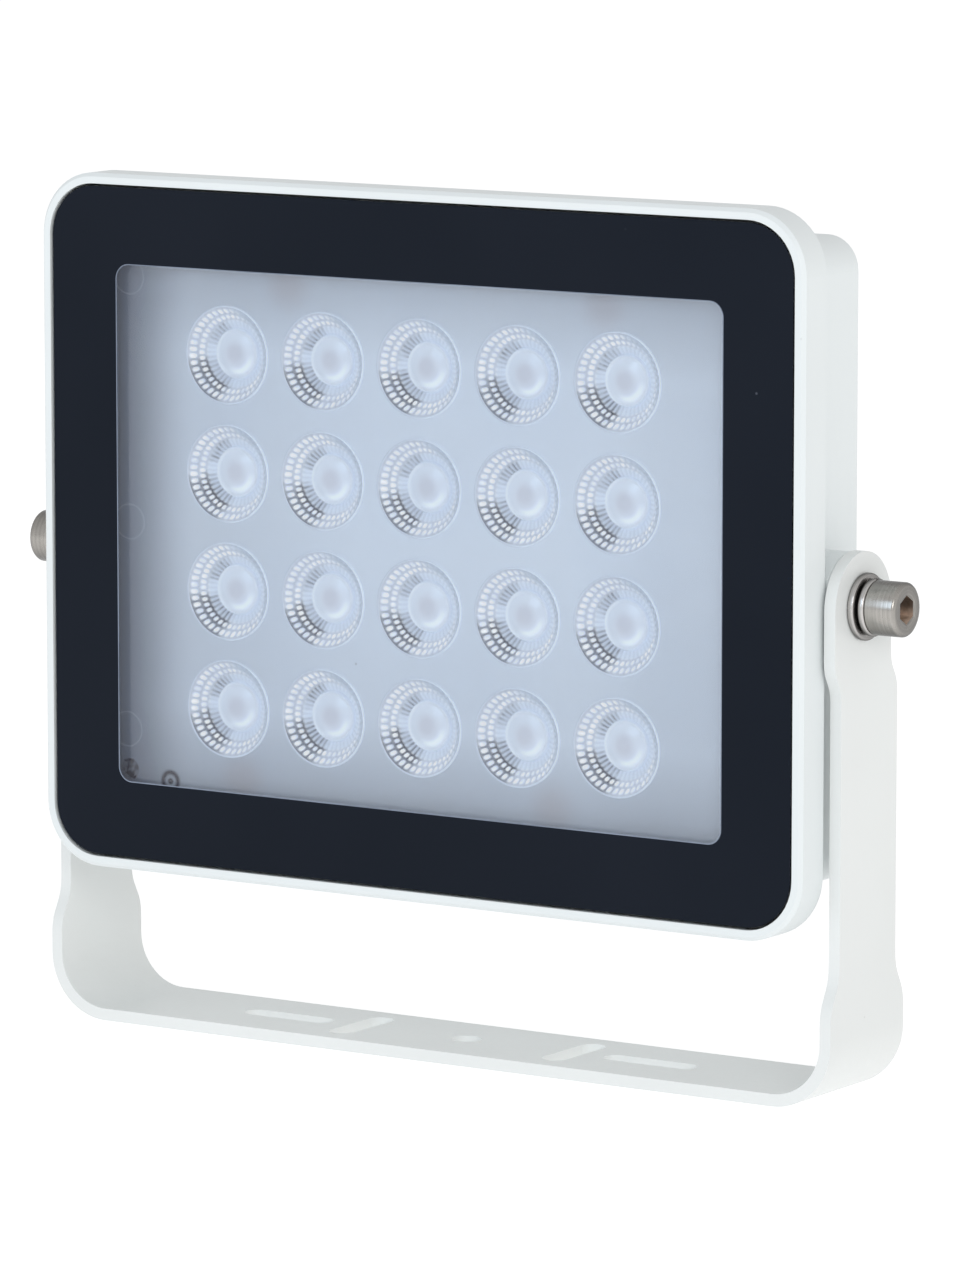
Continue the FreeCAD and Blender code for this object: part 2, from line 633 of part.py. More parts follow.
def clamp_bore(side):
    """Blind hole for the clamp screw."""
    tip = CLAMP_SEAT - CLAMP_LENGTH - SCREW_TIP_GAP
    return Part.makeCylinder(CLAMP_RADIUS + THREAD_CLEAR, SIDE_BOSS_END + OVERCUT - tip,
                             V(side * tip, PIVOT_DEPTH, -PIVOT_DROP), ALONG_X * side)


def housing_solid():
    """Flanged tray with a floor, and the walls that run on behind the floor."""
    flange_in = 2 * (FRAME_SKIRT + FLANGE_CLEAR)
    body = slab(BODY_WIDTH, BODY_HEIGHT, BODY_CORNER, FLANGE_FRONT, BODY_DEPTH)
    body = body.makeChamfer(BODY_EDGE, edges_at_depth(body, BODY_DEPTH))
    body = body.fuse([slab(HEAD_WIDTH - flange_in, HEAD_HEIGHT - flange_in, HEAD_CORNER - flange_in / 2,
                           FLANGE_FRONT, FRAME_DEPTH), side_boss(-1), side_boss(1)])
    body = body.cut([slab(CAVITY_WIDTH, CAVITY_HEIGHT, CAVITY_CORNER, FLANGE_FRONT - OVERCUT, FLOOR_FRONT),
                     slab(CAVITY_WIDTH, CAVITY_HEIGHT, CAVITY_CORNER, FLOOR_BACK, BODY_DEPTH + OVERCUT)])
    return body


def driver_box():
    box = slab(BOX_WIDTH, BOX_HEIGHT, BOX_CORNER, FLOOR_BACK - FLOOR_THICK / 2, BOX_DEPTH)
    return box.cut(slab(BOX_WIDTH - 2 * BOX_WALL, BOX_HEIGHT - 2 * BOX_WALL, BOX_CORNER - BOX_WALL,
                        FLOOR_BACK, BOX_DEPTH + OVERCUT))


def housing_bosses():
    """Bosses for every screw that ends in the housing."""
    root = FLOOR_BACK - FLOOR_THICK / 2
    bosses = [rod(SCREW_BOSS_RADIUS, x, z, root, FLOOR_BACK + SCREW_BOSS_HEIGHT)
              for x, z in board_screw_places() + lens_screw_places()]
    bosses += [rod(DRIVER_POST_RADIUS, x, z, root, driver_seat()) for x, z in driver_screw_places()]
    bosses += [rod(COVER_BOSS_RADIUS, x, z, BOX_DEPTH - COVER_BOSS_LENGTH, BOX_DEPTH)
               for x, z in cover_screw_places()]
    for side in (-1, 1):
        start = V(side * (CAVITY_WIDTH / 2 - SIDE_BOSS_INSIDE), PIVOT_DEPTH, -PIVOT_DROP)
        bosses.append(Part.makeCylinder(CLAMP_BOSS_RADIUS, SIDE_BOSS_INSIDE + BODY_WALL / 2, start,
                                        ALONG_X * side))
    return bosses


def housing_bores():
    """Holes for the screws and the wires."""
    open_front = FLOOR_FRONT - OVERCUT
    tight = M3_RADIUS + THREAD_CLEAR
    lens_end = FLOOR_FRONT + LENS_SCREW_LENGTH - FOOT_THICK + THREAD_CLEAR
    board_end = BOARD_FRONT + BOARD_SCREW_LENGTH + THREAD_CLEAR
    driver_end = on_driver_board() - DRIVER_SCREW_LENGTH
    cover_end = COVER_BACK - COVER_SCREW_LENGTH - SCREW_TIP_GAP
    bores = [clamp_bore(-1), clamp_bore(1)]
    bores += [rod(M3_RADIUS + SCREW_CLEAR, x, z, open_front, FLOOR_BACK + OVERCUT)
              for x, z in frame_screw_places()]
    bores += [rod(tight, x, z, open_front, lens_end) for x, z in lens_screw_places()]
    bores += [rod(tight, x, z, open_front, board_end) for x, z in board_screw_places()]
    bores += [rod(tight, x, z, driver_end, driver_seat() + OVERCUT) for x, z in driver_screw_places()]
    bores += [rod(M4_RADIUS + THREAD_CLEAR, x, z, cover_end, BOX_DEPTH + OVERCUT)
              for x, z in cover_screw_places()]
    bores.append(rod(GROMMET_NECK, 0, wire_pass_z(), open_front, FLOOR_BACK + OVERCUT))
    return bores


def housing():
    """Die-cast body: tray, fins, driver box and bosses."""
    body = housing_solid().fuse(fins() + [driver_box()] + housing_bosses())
    return body.cut(housing_bores() + air_vents()).removeSplitter()


def frame_screws():
    return [m3_screw(FRAME_SCREW_LENGTH, x, FLOOR_BACK, z, -ALONG_Y) for x, z in frame_screw_places()]


def wire_grommet():
    """Rubber bush with a flange on each side of the floor."""
    z = wire_pass_z()
    bush = rod(GROMMET_NECK, 0, z, FLOOR_FRONT, FLOOR_BACK)
    bush = bush.fuse([rod(GROMMET_FLANGE, 0, z, FLOOR_FRONT - GROMMET_LIP, FLOOR_FRONT),
                      rod(GROMMET_FLANGE, 0, z, FLOOR_BACK, FLOOR_BACK + GROMMET_LIP)])
    return bush.cut(rod(GROMMET_BORE, 0, z, 0, BODY_DEPTH)).removeSplitter()


def driver_seat():
    """Depth at which the driver board lies on its posts."""
    return FLOOR_BACK + DRIVER_POST_HEIGHT


def on_driver_board():
    """Depth of the side of the driver board that carries the components."""
    return driver_seat() + DRIVER_THICK


def driver_board():
    board = slab(DRIVER_WIDTH, DRIVER_HEIGHT, BOARD_CORNER, driver_seat(), on_driver_board())
    holes = [rod(M3_RADIUS + SCREW_CLEAR, x, z, 0, BOX_DEPTH) for x, z in driver_screw_places()]
    return board.cut(holes)


def driver_board_screws():
    return [m3_screw(DRIVER_SCREW_LENGTH, x, on_driver_board(), z, -ALONG_Y)
            for x, z in driver_screw_places()]


def on_board_block(width, height, length, x, z):
    """Block that stands on the driver board, centred at x and z."""
    y = on_driver_board()
    return block(x - width / 2, x + width / 2, y, y + height, z - length / 2, z + length / 2)


def driver_transformer():
    """Ferrite core round a coil that lies across it."""
    core = on_board_block(TRANSFORMER_WIDTH, TRANSFORMER_HEIGHT, TRANSFORMER_LENGTH,
                          TRANSFORMER_X, TRANSFORMER_Z)
    window = on_board_block(TRANSFORMER_WINDOW, TRANSFORMER_HEIGHT, TRANSFORMER_LENGTH + 2 * OVERCUT,
                            TRANSFORMER_X, TRANSFORMER_Z)
    end = V(TRANSFORMER_X, on_driver_board() + TRANSFORMER_HEIGHT / 2,
            TRANSFORMER_Z - TRANSFORMER_COIL_LENGTH / 2)
    coil = Part.makeCylinder(TRANSFORMER_COIL_RADIUS, TRANSFORMER_COIL_LENGTH, end, ALONG_Z)
    return core.cut(window).fuse(coil)


def driver_choke():
    y = on_driver_board()
    ring = rod(CHOKE_RADIUS, CHOKE_X, CHOKE_Z, y, y + CHOKE_HEIGHT)
    return ring.cut(rod(CHOKE_HOLE, CHOKE_X, CHOKE_Z, y - OVERCUT, y + CHOKE_HEIGHT + OVERCUT))


def driver_capacitors():
    y = on_driver_board()
    return [rod(CAPACITOR_RADIUS, CAPACITOR_X + i * CAPACITOR_PITCH, CAPACITOR_Z, y, y + CAPACITOR_HEIGHT)
            for i in range(CAPACITOR_COUNT)]


def driver_chips():
    return [on_board_block(CHIP_WIDTH, CHIP_HEIGHT, CHIP_LENGTH, CHIP_X, CHIP_Z + i * CHIP_PITCH)
            for i in range(CHIP_COUNT)]


def terminal_block():
    """Block with wire mouths at its side and screw wells behind."""
    y = on_driver_board()
    cuts = []
    for i in range(TERMINAL_WAYS):
        z = TERMINAL_Z + (i - (TERMINAL_WAYS - 1) / 2) * TERMINAL_LENGTH / TERMINAL_WAYS
        cuts.append(Part.makeCylinder(TERMINAL_WIRE_RADIUS, TERMINAL_HOLE_DEPTH,
                                      V(TERMINAL_X - TERMINAL_WIDTH / 2, y + TERMINAL_HEIGHT / 3, z), ALONG_X))
        cuts.append(rod(TERMINAL_SCREW_RADIUS, TERMINAL_X, z, y + TERMINAL_HEIGHT / 2, y + TERMINAL_HEIGHT))
    return on_board_block(TERMINAL_WIDTH, TERMINAL_HEIGHT, TERMINAL_LENGTH, TERMINAL_X, TERMINAL_Z).cut(cuts)


def cover_gasket():
    seal = slab(BOX_WIDTH - 2 * BOX_SEAL_INSET, BOX_HEIGHT - 2 * BOX_SEAL_INSET, BOX_CORNER - BOX_SEAL_INSET,
                BOX_DEPTH, COVER_FRONT)
    seal = seal.cut(slab(BOX_WIDTH - 2 * BOX_SEAL_REACH, BOX_HEIGHT - 2 * BOX_SEAL_REACH,
                         BOX_CORNER - BOX_WALL, 0, COVER_BACK))
    return seal.cut([rod(M4_RADIUS + SCREW_CLEAR, x, z, 0, COVER_BACK) for x, z in cover_screw_places()])


def rear_cover():
    """Lid with a raised panel, and holes for its screws, the gland and the vent."""
    lid = slab(BOX_WIDTH, BOX_HEIGHT, BOX_CORNER, COVER_FRONT, COVER_BACK)
    lid = lid.makeChamfer(COVER_EDGE, edges_at_depth(lid, COVER_BACK))
    panel = slab(BOX_WIDTH - 2 * COVER_PANEL_INSET, BOX_HEIGHT - 2 * COVER_PANEL_INSET, COVER_PANEL_CORNER,
                 COVER_BACK - COVER_EDGE, PANEL_BACK)
    panel = panel.makeChamfer(COVER_PANEL_EDGE, edges_at_depth(panel, PANEL_BACK))
    holes = [rod(M4_RADIUS + SCREW_CLEAR, x, z, BOX_DEPTH, PANEL_BACK + OVERCUT)
             for x, z in cover_screw_places()]
    holes.append(rod(GLAND_THREAD_RADIUS + GLAND_HOLE_CLEAR, GLAND_X, GLAND_Z, BOX_DEPTH, PANEL_BACK + OVERCUT))
    holes.append(rod(VENT_RADIUS + GLAND_HOLE_CLEAR, VENT_X, VENT_Z, BOX_DEPTH, PANEL_BACK + OVERCUT))
    return lid.fuse(panel).cut(holes).removeSplitter()


def cover_screws():
    return [cap_screw(M4_RADIUS, M4_HEAD_RADIUS, M4_HEAD_HEIGHT, M4_SOCKET, M4_SOCKET_DEPTH,
                      COVER_SCREW_LENGTH, V(x, COVER_BACK, z), -ALONG_Y) for x, z in cover_screw_places()]


def gland_body():
    """Hexagon on the cover, threaded neck inside and a smaller neck outside for the nut."""
    start = V(GLAND_X, PANEL_BACK, GLAND_Z)
    body = hexagon(GLAND_HEX, start, GLAND_HEX_HEIGHT, ALONG_Y)
    inside = COVER_FRONT - LOCKNUT_HEIGHT - LOCKNUT_PAST
    outside = PANEL_BACK + GLAND_HEX_HEIGHT
    body = body.fuse([rod(GLAND_THREAD_RADIUS, GLAND_X, GLAND_Z, inside, PANEL_BACK),
                      rod(GLAND_NECK_RADIUS, GLAND_X, GLAND_Z, outside, outside + GLAND_NECK_LENGTH)])
    seal_start = outside + GLAND_NECK_LENGTH - GLAND_SEAL_LENGTH
    return body.cut([rod(GLAND_BODY_BORE, GLAND_X, GLAND_Z, inside - OVERCUT, seal_start),
                     rod(GLAND_NECK_RADIUS - GLAND_WALL, GLAND_X, GLAND_Z, seal_start,
                         outside + GLAND_NECK_LENGTH + OVERCUT)]).removeSplitter()


def gland_seal():
    """Rubber bush in the neck; its bore takes the cable."""
    end = PANEL_BACK + GLAND_HEX_HEIGHT + GLAND_NECK_LENGTH
    bush = rod(GLAND_NECK_RADIUS - GLAND_WALL - GLAND_FIT, GLAND_X, GLAND_Z, end - GLAND_SEAL_LENGTH, end)
    return bush.cut(rod(GLAND_BORE, GLAND_X, GLAND_Z, 0, end + OVERCUT))


def gland_nut():
    """Hexagon nut with a round shoulder that narrows to the mouth."""
    start = PANEL_BACK + GLAND_HEX_HEIGHT
    straight = GLAND_NUT_HEIGHT - GLAND_NUT_DOME
    nut = hexagon(GLAND_HEX, V(GLAND_X, start, GLAND_Z), straight, ALONG_Y)
    dome = Part.makeCone(GLAND_HEX / 2 - GLAND_FIT, GLAND_NUT_END_RADIUS, GLAND_NUT_DOME,
                         V(GLAND_X, start + straight, GLAND_Z), ALONG_Y)
    return nut.fuse(dome).cut([rod(GLAND_NECK_RADIUS + GLAND_FIT, GLAND_X, GLAND_Z, start - OVERCUT,
                                   start + GLAND_NECK_LENGTH),
                               rod(GLAND_NUT_MOUTH, GLAND_X, GLAND_Z, start,
                                   start + GLAND_NUT_HEIGHT + OVERCUT)])


def gland_locknut():
    nut = hexagon(LOCKNUT_HEX, V(GLAND_X, COVER_FRONT - LOCKNUT_HEIGHT, GLAND_Z), LOCKNUT_HEIGHT, ALONG_Y)
    return nut.cut(rod(GLAND_THREAD_RADIUS + GLAND_FIT, GLAND_X, GLAND_Z, 0, BODY_DEPTH * 2))


def vent_plug():
    """Many-sided cap on a threaded stem with a breathing hole."""
    cap = faceted([(VENT_CAP_RADIUS, 0), (VENT_CAP_RADIUS, VENT_CAP_HEIGHT - VENT_EDGE),
                   (VENT_CAP_RADIUS - VENT_EDGE, VENT_CAP_HEIGHT)], VENT_SIDES)
    cap.translate(V(VENT_X, PANEL_BACK, VENT_Z))
    stem = rod(VENT_RADIUS, VENT_X, VENT_Z, COVER_FRONT - VENT_PAST, PANEL_BACK)
    hole = rod(VENT_BORE, VENT_X, VENT_Z, 0, PANEL_BACK + VENT_CAP_HEIGHT / 2)
    return cap.fuse(stem).cut(hole)


def clamp_screws():
    return [cap_screw(CLAMP_RADIUS, CLAMP_HEAD_RADIUS, CLAMP_HEAD_HEIGHT, CLAMP_SOCKET, CLAMP_SOCKET_DEPTH,
                      CLAMP_LENGTH, V(side * CLAMP_SEAT, PIVOT_DEPTH, -PIVOT_DROP), ALONG_X * -side,
                      CLAMP_EDGE)
            for side in (-1, 1)]


def washer(side, radius, seat, thick):
    """Ring on the clamp screw, from its seat outwards."""
    start = V(side * seat, PIVOT_DEPTH, -PIVOT_DROP)
    ring = Part.makeCylinder(radius, thick, start, ALONG_X * side)
    return ring.cut(Part.makeCylinder(CLAMP_RADIUS + WASHER_CLEAR, thick, start, ALONG_X * side))


def flat_washers():
    return [washer(side, FLAT_WASHER_RADIUS, WASHER_SEAT, FLAT_WASHER_THICK) for side in (-1, 1)]


def spring_washers():
    """Rings split by a slanting cut at the top."""
    rings = []
    seat = WASHER_SEAT + FLAT_WASHER_THICK
    for side in (-1, 1):
        ring = washer(side, SPRING_WASHER_RADIUS, seat, SPRING_WASHER_THICK)
        cut = block(-SPRING_WASHER_THICK, SPRING_WASHER_THICK, -SPRING_WASHER_CUT / 2, SPRING_WASHER_CUT / 2,
                    0, SPRING_WASHER_RADIUS + OVERCUT)
        cut.rotate(V(0, 0, 0), ALONG_Z, SPRING_WASHER_SLANT)
        cut.translate(V(side * (seat + SPRING_WASHER_THICK / 2), PIVOT_DEPTH, -PIVOT_DROP))
        rings.append(ring.cut(cut))
    return rings


def s_curve(y0, z0, y1, z1):
    """Smooth shift between two upright edges of the bracket's side outline."""
    middle = (z0 + z1) / 2
    curve = Part.BezierCurve()
    curve.setPoles([V(0, y0, z0), V(0, y0, middle), V(0, y1, middle), V(0, y1, z1)])
    return curve.toShape()


def bracket_side_outline():
    """Outline of an arm seen from the side: base width, flare, arm, jog and round ear."""
    base = BASE_DEPTH / 2
    arm = ARM_WIDTH / 2
    ear = -PIVOT_FORWARD
    jog_top = PIVOT_HEIGHT - JOG_BELOW_PIVOT
    jog_end = jog_top - JOG_LENGTH
    front = [Part.makeLine(V(0, -base, 0), V(0, -base, FLARE_START)),
             s_curve(-base, FLARE_START, -arm, FLARE_END),
             Part.makeLine(V(0, -arm, FLARE_END), V(0, -arm, jog_end)),
             s_curve(-arm, jog_end, ear - arm, jog_top),
             Part.makeLine(V(0, ear - arm, jog_top), V(0, ear - arm, PIVOT_HEIGHT))]
    over = Part.Arc(V(0, ear - arm, PIVOT_HEIGHT), V(0, ear, PIVOT_HEIGHT + arm),
                    V(0, ear + arm, PIVOT_HEIGHT)).toShape()
    back = [Part.makeLine(V(0, ear + arm, PIVOT_HEIGHT), V(0, ear + arm, jog_top)),
            s_curve(ear + arm, jog_top, arm, jog_end),
            Part.makeLine(V(0, arm, jog_end), V(0, arm, FLARE_END)),
            s_curve(arm, FLARE_END, base, FLARE_START),
            Part.makeLine(V(0, base, FLARE_START), V(0, base, 0)),
            Part.makeLine(V(0, base, 0), V(0, -base, 0))]
    return Part.Face(Part.Wire(front + [over] + back))


def folded_sheet(top):
    """U of sheet metal seen from the front, as deep as the base."""
    slant = math.sqrt(0.5)
    low = SHEET + BEND_RADIUS
    centre = ARM_INSIDE - BEND_RADIUS

    def half(side):
        inside = V(side * (centre + BEND_RADIUS * slant), 0, low - BEND_RADIUS * slant)
        outside = V(side * (centre + low * slant), 0, low - low * slant)
        return (Part.Arc(V(side * centre, 0, SHEET), inside, V(side * ARM_INSIDE, 0, low)).toShape(),
                Part.Arc(V(side * centre, 0, 0), outside, V(side * ARM_OUTSIDE, 0, low)).toShape())

    edges = [Part.makeLine(V(-centre, 0, 0), V(centre, 0, 0)),
             Part.makeLine(V(-centre, 0, SHEET), V(centre, 0, SHEET))]
    for side in (-1, 1):
        edges += half(side)
        edges += [Part.makeLine(V(side * ARM_INSIDE, 0, low), V(side * ARM_INSIDE, 0, top)),
                  Part.makeLine(V(side * ARM_INSIDE, 0, top), V(side * ARM_OUTSIDE, 0, top)),
                  Part.makeLine(V(side * ARM_OUTSIDE, 0, top), V(side * ARM_OUTSIDE, 0, low))]
    sheet = Part.Face(Part.Wire(Part.__sortEdges__(edges)))
    sheet.translate(V(0, -BASE_DEPTH, 0))
    return sheet.extrude(ALONG_Y * (2 * BASE_DEPTH))


def base_slot(x, length, width, along_x):
    """Straight slot with round ends through the base, centred at x."""
    run = length / 2 - width / 2
    direction = ALONG_X if along_x else ALONG_Y
    across = ALONG_Y if along_x else ALONG_X
    middle = V(x, 0, -OVERCUT)
    depth = SHEET + 2 * OVERCUT
    ends = [Part.makeCylinder(width / 2, depth, middle + direction * (end * run), ALONG_Z)
            for end in (-1, 1)]
    corner = middle - direction * run - across * (width / 2)
    size = direction * (2 * run) + across * width
    return ends[0].fuse([ends[1], Part.makeBox(size.x, size.y, depth, corner)]).removeSplitter()


def mounting_bracket():
    """One folded sheet with slots in the base and a hole in each ear."""
    side = bracket_side_outline()
    side.translate(V(-ARM_OUTSIDE - OVERCUT, 0, 0))
    arms = side.extrude(ALONG_X * (2 * ARM_OUTSIDE + 2 * OVERCUT))
    sheet = folded_sheet(PIVOT_HEIGHT + ARM_WIDTH).common(arms)
    cuts = [Part.makeCylinder(CENTRE_HOLE_RADIUS, SHEET + 2 * OVERCUT, V(0, 0, -OVERCUT), ALONG_Z),
            Part.makeCylinder(CLAMP_RADIUS + ARM_HOLE_CLEAR, 2 * ARM_OUTSIDE + 2 * OVERCUT,
                              V(-ARM_OUTSIDE - OVERCUT, -PIVOT_FORWARD, PIVOT_HEIGHT), ALONG_X)]
    for end in (-1, 1):
        cuts.append(base_slot(end * OUTER_SLOT_X, OUTER_SLOT_LENGTH, OUTER_SLOT_WIDTH, True))
        cuts.append(base_slot(end * INNER_SLOT_X, INNER_SLOT_LENGTH, INNER_SLOT_WIDTH, False))
    return sheet.cut(cuts)


HEAD_PIECES = (front_frame, front_glass, glass_border, glass_gasket, lens_plate, lens_screws, led_board,
               led_chips, board_screws, thermal_pad, body_gasket, housing, frame_screws, wire_grommet,
               driver_board, driver_board_screws, driver_transformer, driver_choke, driver_capacitors,
               driver_chips, terminal_block, cover_gasket, rear_cover, cover_screws, gland_body,
               gland_seal, gland_nut, gland_locknut, vent_plug, clamp_screws, flat_washers,
               spring_washers)


def export(name, shape):
    shape.exportStep("parts/" + name + ".step")


def main():
    os.makedirs("parts", exist_ok=True)
    export("mounting_bracket", mounting_bracket())
    for make in HEAD_PIECES:
        made = make()
        shape = Part.Compound(made) if isinstance(made, list) else made
        export(make.__name__, place_head(shape))


main()
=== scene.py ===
import math

import bmesh
import bpy
from mathutils import Matrix, Vector


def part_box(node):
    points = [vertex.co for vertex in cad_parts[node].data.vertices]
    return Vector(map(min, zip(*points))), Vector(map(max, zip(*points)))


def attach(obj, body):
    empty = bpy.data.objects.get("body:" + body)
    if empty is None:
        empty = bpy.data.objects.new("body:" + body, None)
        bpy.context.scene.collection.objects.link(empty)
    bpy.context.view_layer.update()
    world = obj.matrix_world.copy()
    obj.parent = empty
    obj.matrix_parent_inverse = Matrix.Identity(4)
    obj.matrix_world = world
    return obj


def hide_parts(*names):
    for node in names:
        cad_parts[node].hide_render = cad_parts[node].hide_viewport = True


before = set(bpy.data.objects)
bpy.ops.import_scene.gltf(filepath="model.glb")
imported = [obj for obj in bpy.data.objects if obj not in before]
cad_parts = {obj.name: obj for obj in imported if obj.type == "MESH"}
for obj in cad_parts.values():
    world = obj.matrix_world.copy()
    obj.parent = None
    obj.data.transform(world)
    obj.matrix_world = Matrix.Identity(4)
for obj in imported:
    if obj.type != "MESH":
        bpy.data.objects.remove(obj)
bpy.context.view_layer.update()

# Sizes, in metres, in the frame of the CAD: X across, -Y to the front, Z up.

MM = 0.001

GLASS_LOW, GLASS_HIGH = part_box("front_glass")
LENS_LOW, LENS_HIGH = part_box("lens_plate")
BORDER_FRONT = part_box("glass_border")[0].y
CLAMP_LOW, CLAMP_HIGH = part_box("clamp_screws")
HEAD_MIDDLE = (GLASS_LOW.z + GLASS_HIGH.z) / 2
CLAMP_AXIS = Vector((0, (CLAMP_LOW.y + CLAMP_HIGH.y) / 2, (CLAMP_LOW.z + CLAMP_HIGH.z) / 2))

WINDOW_WIDTH = 174.0 * MM
WINDOW_HEIGHT = 128.3 * MM
WINDOW_CORNER = 3.8 * MM
WINDOW_EDGE = 0.22 * MM        # width of the light line round the window

LENS_COLUMNS = 5
LENS_ROWS = 4
LENS_PITCH_X = 28.0 * MM
LENS_PITCH_Z = 29.0 * MM
LENS_DROP = 0.4 * MM
LENS_HOLE = 12.05 * MM
LENS_FACE = LENS_LOW.y
LENS_RISE = 0.4 * MM           # of the rims in front of the plate

PLATE_THICK = 2.4 * MM
PLATE_MARGIN = 2.6 * MM        # behind the border, past each edge of the window
PLATE_FRONT = LENS_FACE + LENS_RISE
PLATE_BACK = PLATE_FRONT + PLATE_THICK
PLATE_WIDTH = WINDOW_WIDTH + 2 * PLATE_MARGIN
PLATE_HEIGHT = WINDOW_HEIGHT + 2 * PLATE_MARGIN
PLATE_CORNER = 3.0 * MM
LEG_WIDTH = 12.0 * MM
LEG_THICK = 2.2 * MM
LEG_Z = 52.0 * MM
FOOT_THICK = 3.0 * MM
FOOT_HOLE = 1.75 * MM

FLUTES = 40                    # beads round one row of a lens
STEPS_PER_FLUTE = 4
BEAD_SWELL = 0.5               # how far a bead stands out, in millimetres

# Radius and depth below the face of a lens, in millimetres.
RIM = [(12.15, 0.7), (12.15, 0.18), (12.02, 0.03), (11.86, 0.0), (11.72, 0.12)]
FIRST_ROW = ((11.65, 0.35), (10.0, 2.35))
SECOND_ROW = ((10.0, 2.35), (8.6, 3.7))
FINE_ROW = ((8.6, 3.7), (6.35, 4.95))
WALL_BACK = [(6.9, 5.9), (12.15, 2.2)]
DOME = [(0.0, 3.5), (1.2, 3.54), (2.4, 3.68), (3.5, 3.92), (4.4, 4.24), (5.0, 4.52), (5.3, 4.62), (5.5, 4.52),
        (5.68, 4.34), (5.84, 4.28), (6.0, 4.34), (6.16, 4.58), (6.36, 4.9), (6.36, 6.0), (0.0, 6.0)]
DOME_STEPS = 72

# How the finish of a lens wall tells its rows of beads apart.
FIRST_KIND = 0.0
SECOND_KIND = 0.5
FINE_KIND = 1.0

CLAMP_SHANK = 4.0 * MM         # radius of the thread
CLAMP_HEAD = 8.0 * MM          # length of the head
CLAMP_LENGTH = 28.0 * MM       # of thread and head
CLAMP_ROUND = 0.9 * MM         # round edge of the head, at the socket
CLAMP_BEVEL = 0.25 * MM        # small edge of the head, at the washers
SOCKET_FLATS = 6.0 * MM
SOCKET_DEPTH = 4.2 * MM
SOCKET_LEAD = 0.85 * MM        # width of the slanted mouth of the socket
SOCKET_LEAD_DEPTH = 0.15 * MM
WASHER_HOLE = 4.2 * MM         # radius
FLAT_WASHER_THICK = 1.6 * MM
FLAT_WASHER_ROUND = 0.45 * MM
SPRING_WASHER_THICK = 2.1 * MM
SPRING_WASHER_ROUND = 0.5 * MM
SPRING_WASHER_CUT = 11.0       # degrees of its turn
SPRING_GAP = 0.55 * MM         # seen between the two washers
TURNED_STEPS = 96
ARC_STEPS = 4                  # of the round edge of a turned part
CORNER_STEPS = 8               # of the round corner of a flat part

WELD = 0.0005 * MM             # corners nearer than this become one
JOINED_SHARP = 35.0            # degrees between two faces of a joined piece, past which their edge is sharp
CLOSED_SHARP = 60.0            # the same for a lens wall or a dome

# Marks on the lens plate, as X and Z from the middle of the head, in millimetres.
STAINS = [(-38.0, 61.0), (52.0, 61.0), (-52.0, -61.0), (38.0, -60.0)]
EJECTOR_MARKS = [(-85.2, 60.8), (-85.4, 0.3), (-86.5, -51.4)]
SPECKLED_DIAL = (-85.9, -61.4)
RINGED_DIAL = (-73.6, -63.4)

# Shade of the frame on the lens plate: start and end in millimetres, share of light at both, smooth or not.
SHADES_ACROSS = [(-88.0, -65.0, 0.24, 1.0, True),
                 (-70.0, -5.0, 0.85, 1.0, True),
                 (45.0, 70.0, 1.0, 0.92, True)]
SHADES_UP = [(44.0, 63.0, 1.0, 0.70, False),
             (-62.0, -44.0, 0.66, 1.0, False),
             (-50.0, 10.0, 0.92, 1.0, True)]

PAINTED_GLOW = 0.27             # share of its own colour that a clear moulding gives off as a painted glow, brightening it behind the cover glass
FLOOR_GLOW = 1.85              # share of its own colour that the floor gives off, so that it stays white in the shade of the base
FLOOR_HALF = 15.0
FLOOR_GAP = 0.3 * MM           # below the base of the bracket
SKY_LOW = 0.85
SKY_HIGH = 0.65
LIGHT_AIM = Vector((0.0, 0.0, 0.12))

# The camera of the photograph, solved from the corners of the head and the window.
VIEW_YAW = math.radians(33.1146)
VIEW_PITCH = math.radians(8.1743)
VIEW_FOCUS_PIXELS = 7591.70
VIEW_HEIGHT_PIXELS = 1280
VIEW_SENSOR = 36.0
VIEW_DISTANCE = 1.819315       # from the middle of the head's face
VIEW_RIGHT = 0.0163028         # shift of the eye
VIEW_DOWN = 0.0218876

# Node trees

class Wire:
    """A value on its way through a node tree, so that sums are written as sums."""

    def __init__(self, tree, socket):
        self.tree = tree
        self.socket = socket

    def math(self, operation, *others):
        values = {i: value for i, value in enumerate((self, *others))}
        return Wire(self.tree, add_node(self.tree, "ShaderNodeMath", values, operation=operation).outputs[0])

    def __add__(self, other):
        return self.math("ADD", other)

    def __sub__(self, other):
        return self.math("SUBTRACT", other)

    def __mul__(self, other):
        return self.math("MULTIPLY", other)

    def __truediv__(self, other):
        return self.math("DIVIDE", other)


def feed(tree, socket, value):
    if isinstance(value, Wire):
        tree.links.new(value.socket, socket)
    else:
        socket.default_value = value


def add_node(tree, kind, inputs=None, **settings):
    node = tree.nodes.new(kind)
    for name, value in settings.items():
        setattr(node, name, value)
    for name, value in (inputs or {}).items():
        feed(tree, node.inputs[name], value)
    return node


def wire(tree, kind, output=0, inputs=None, **settings):
    return Wire(tree, add_node(tree, kind, inputs, **settings).outputs[output])


def length(first, second):
    return (first.math("POWER", 2.0) + second.math("POWER", 2.0)).math("SQRT")


def highest(shares):
    """The greatest of several shares."""
    top = shares[0]
    for share in shares[1:]:
        top = top.math("MAXIMUM", share)
    return top


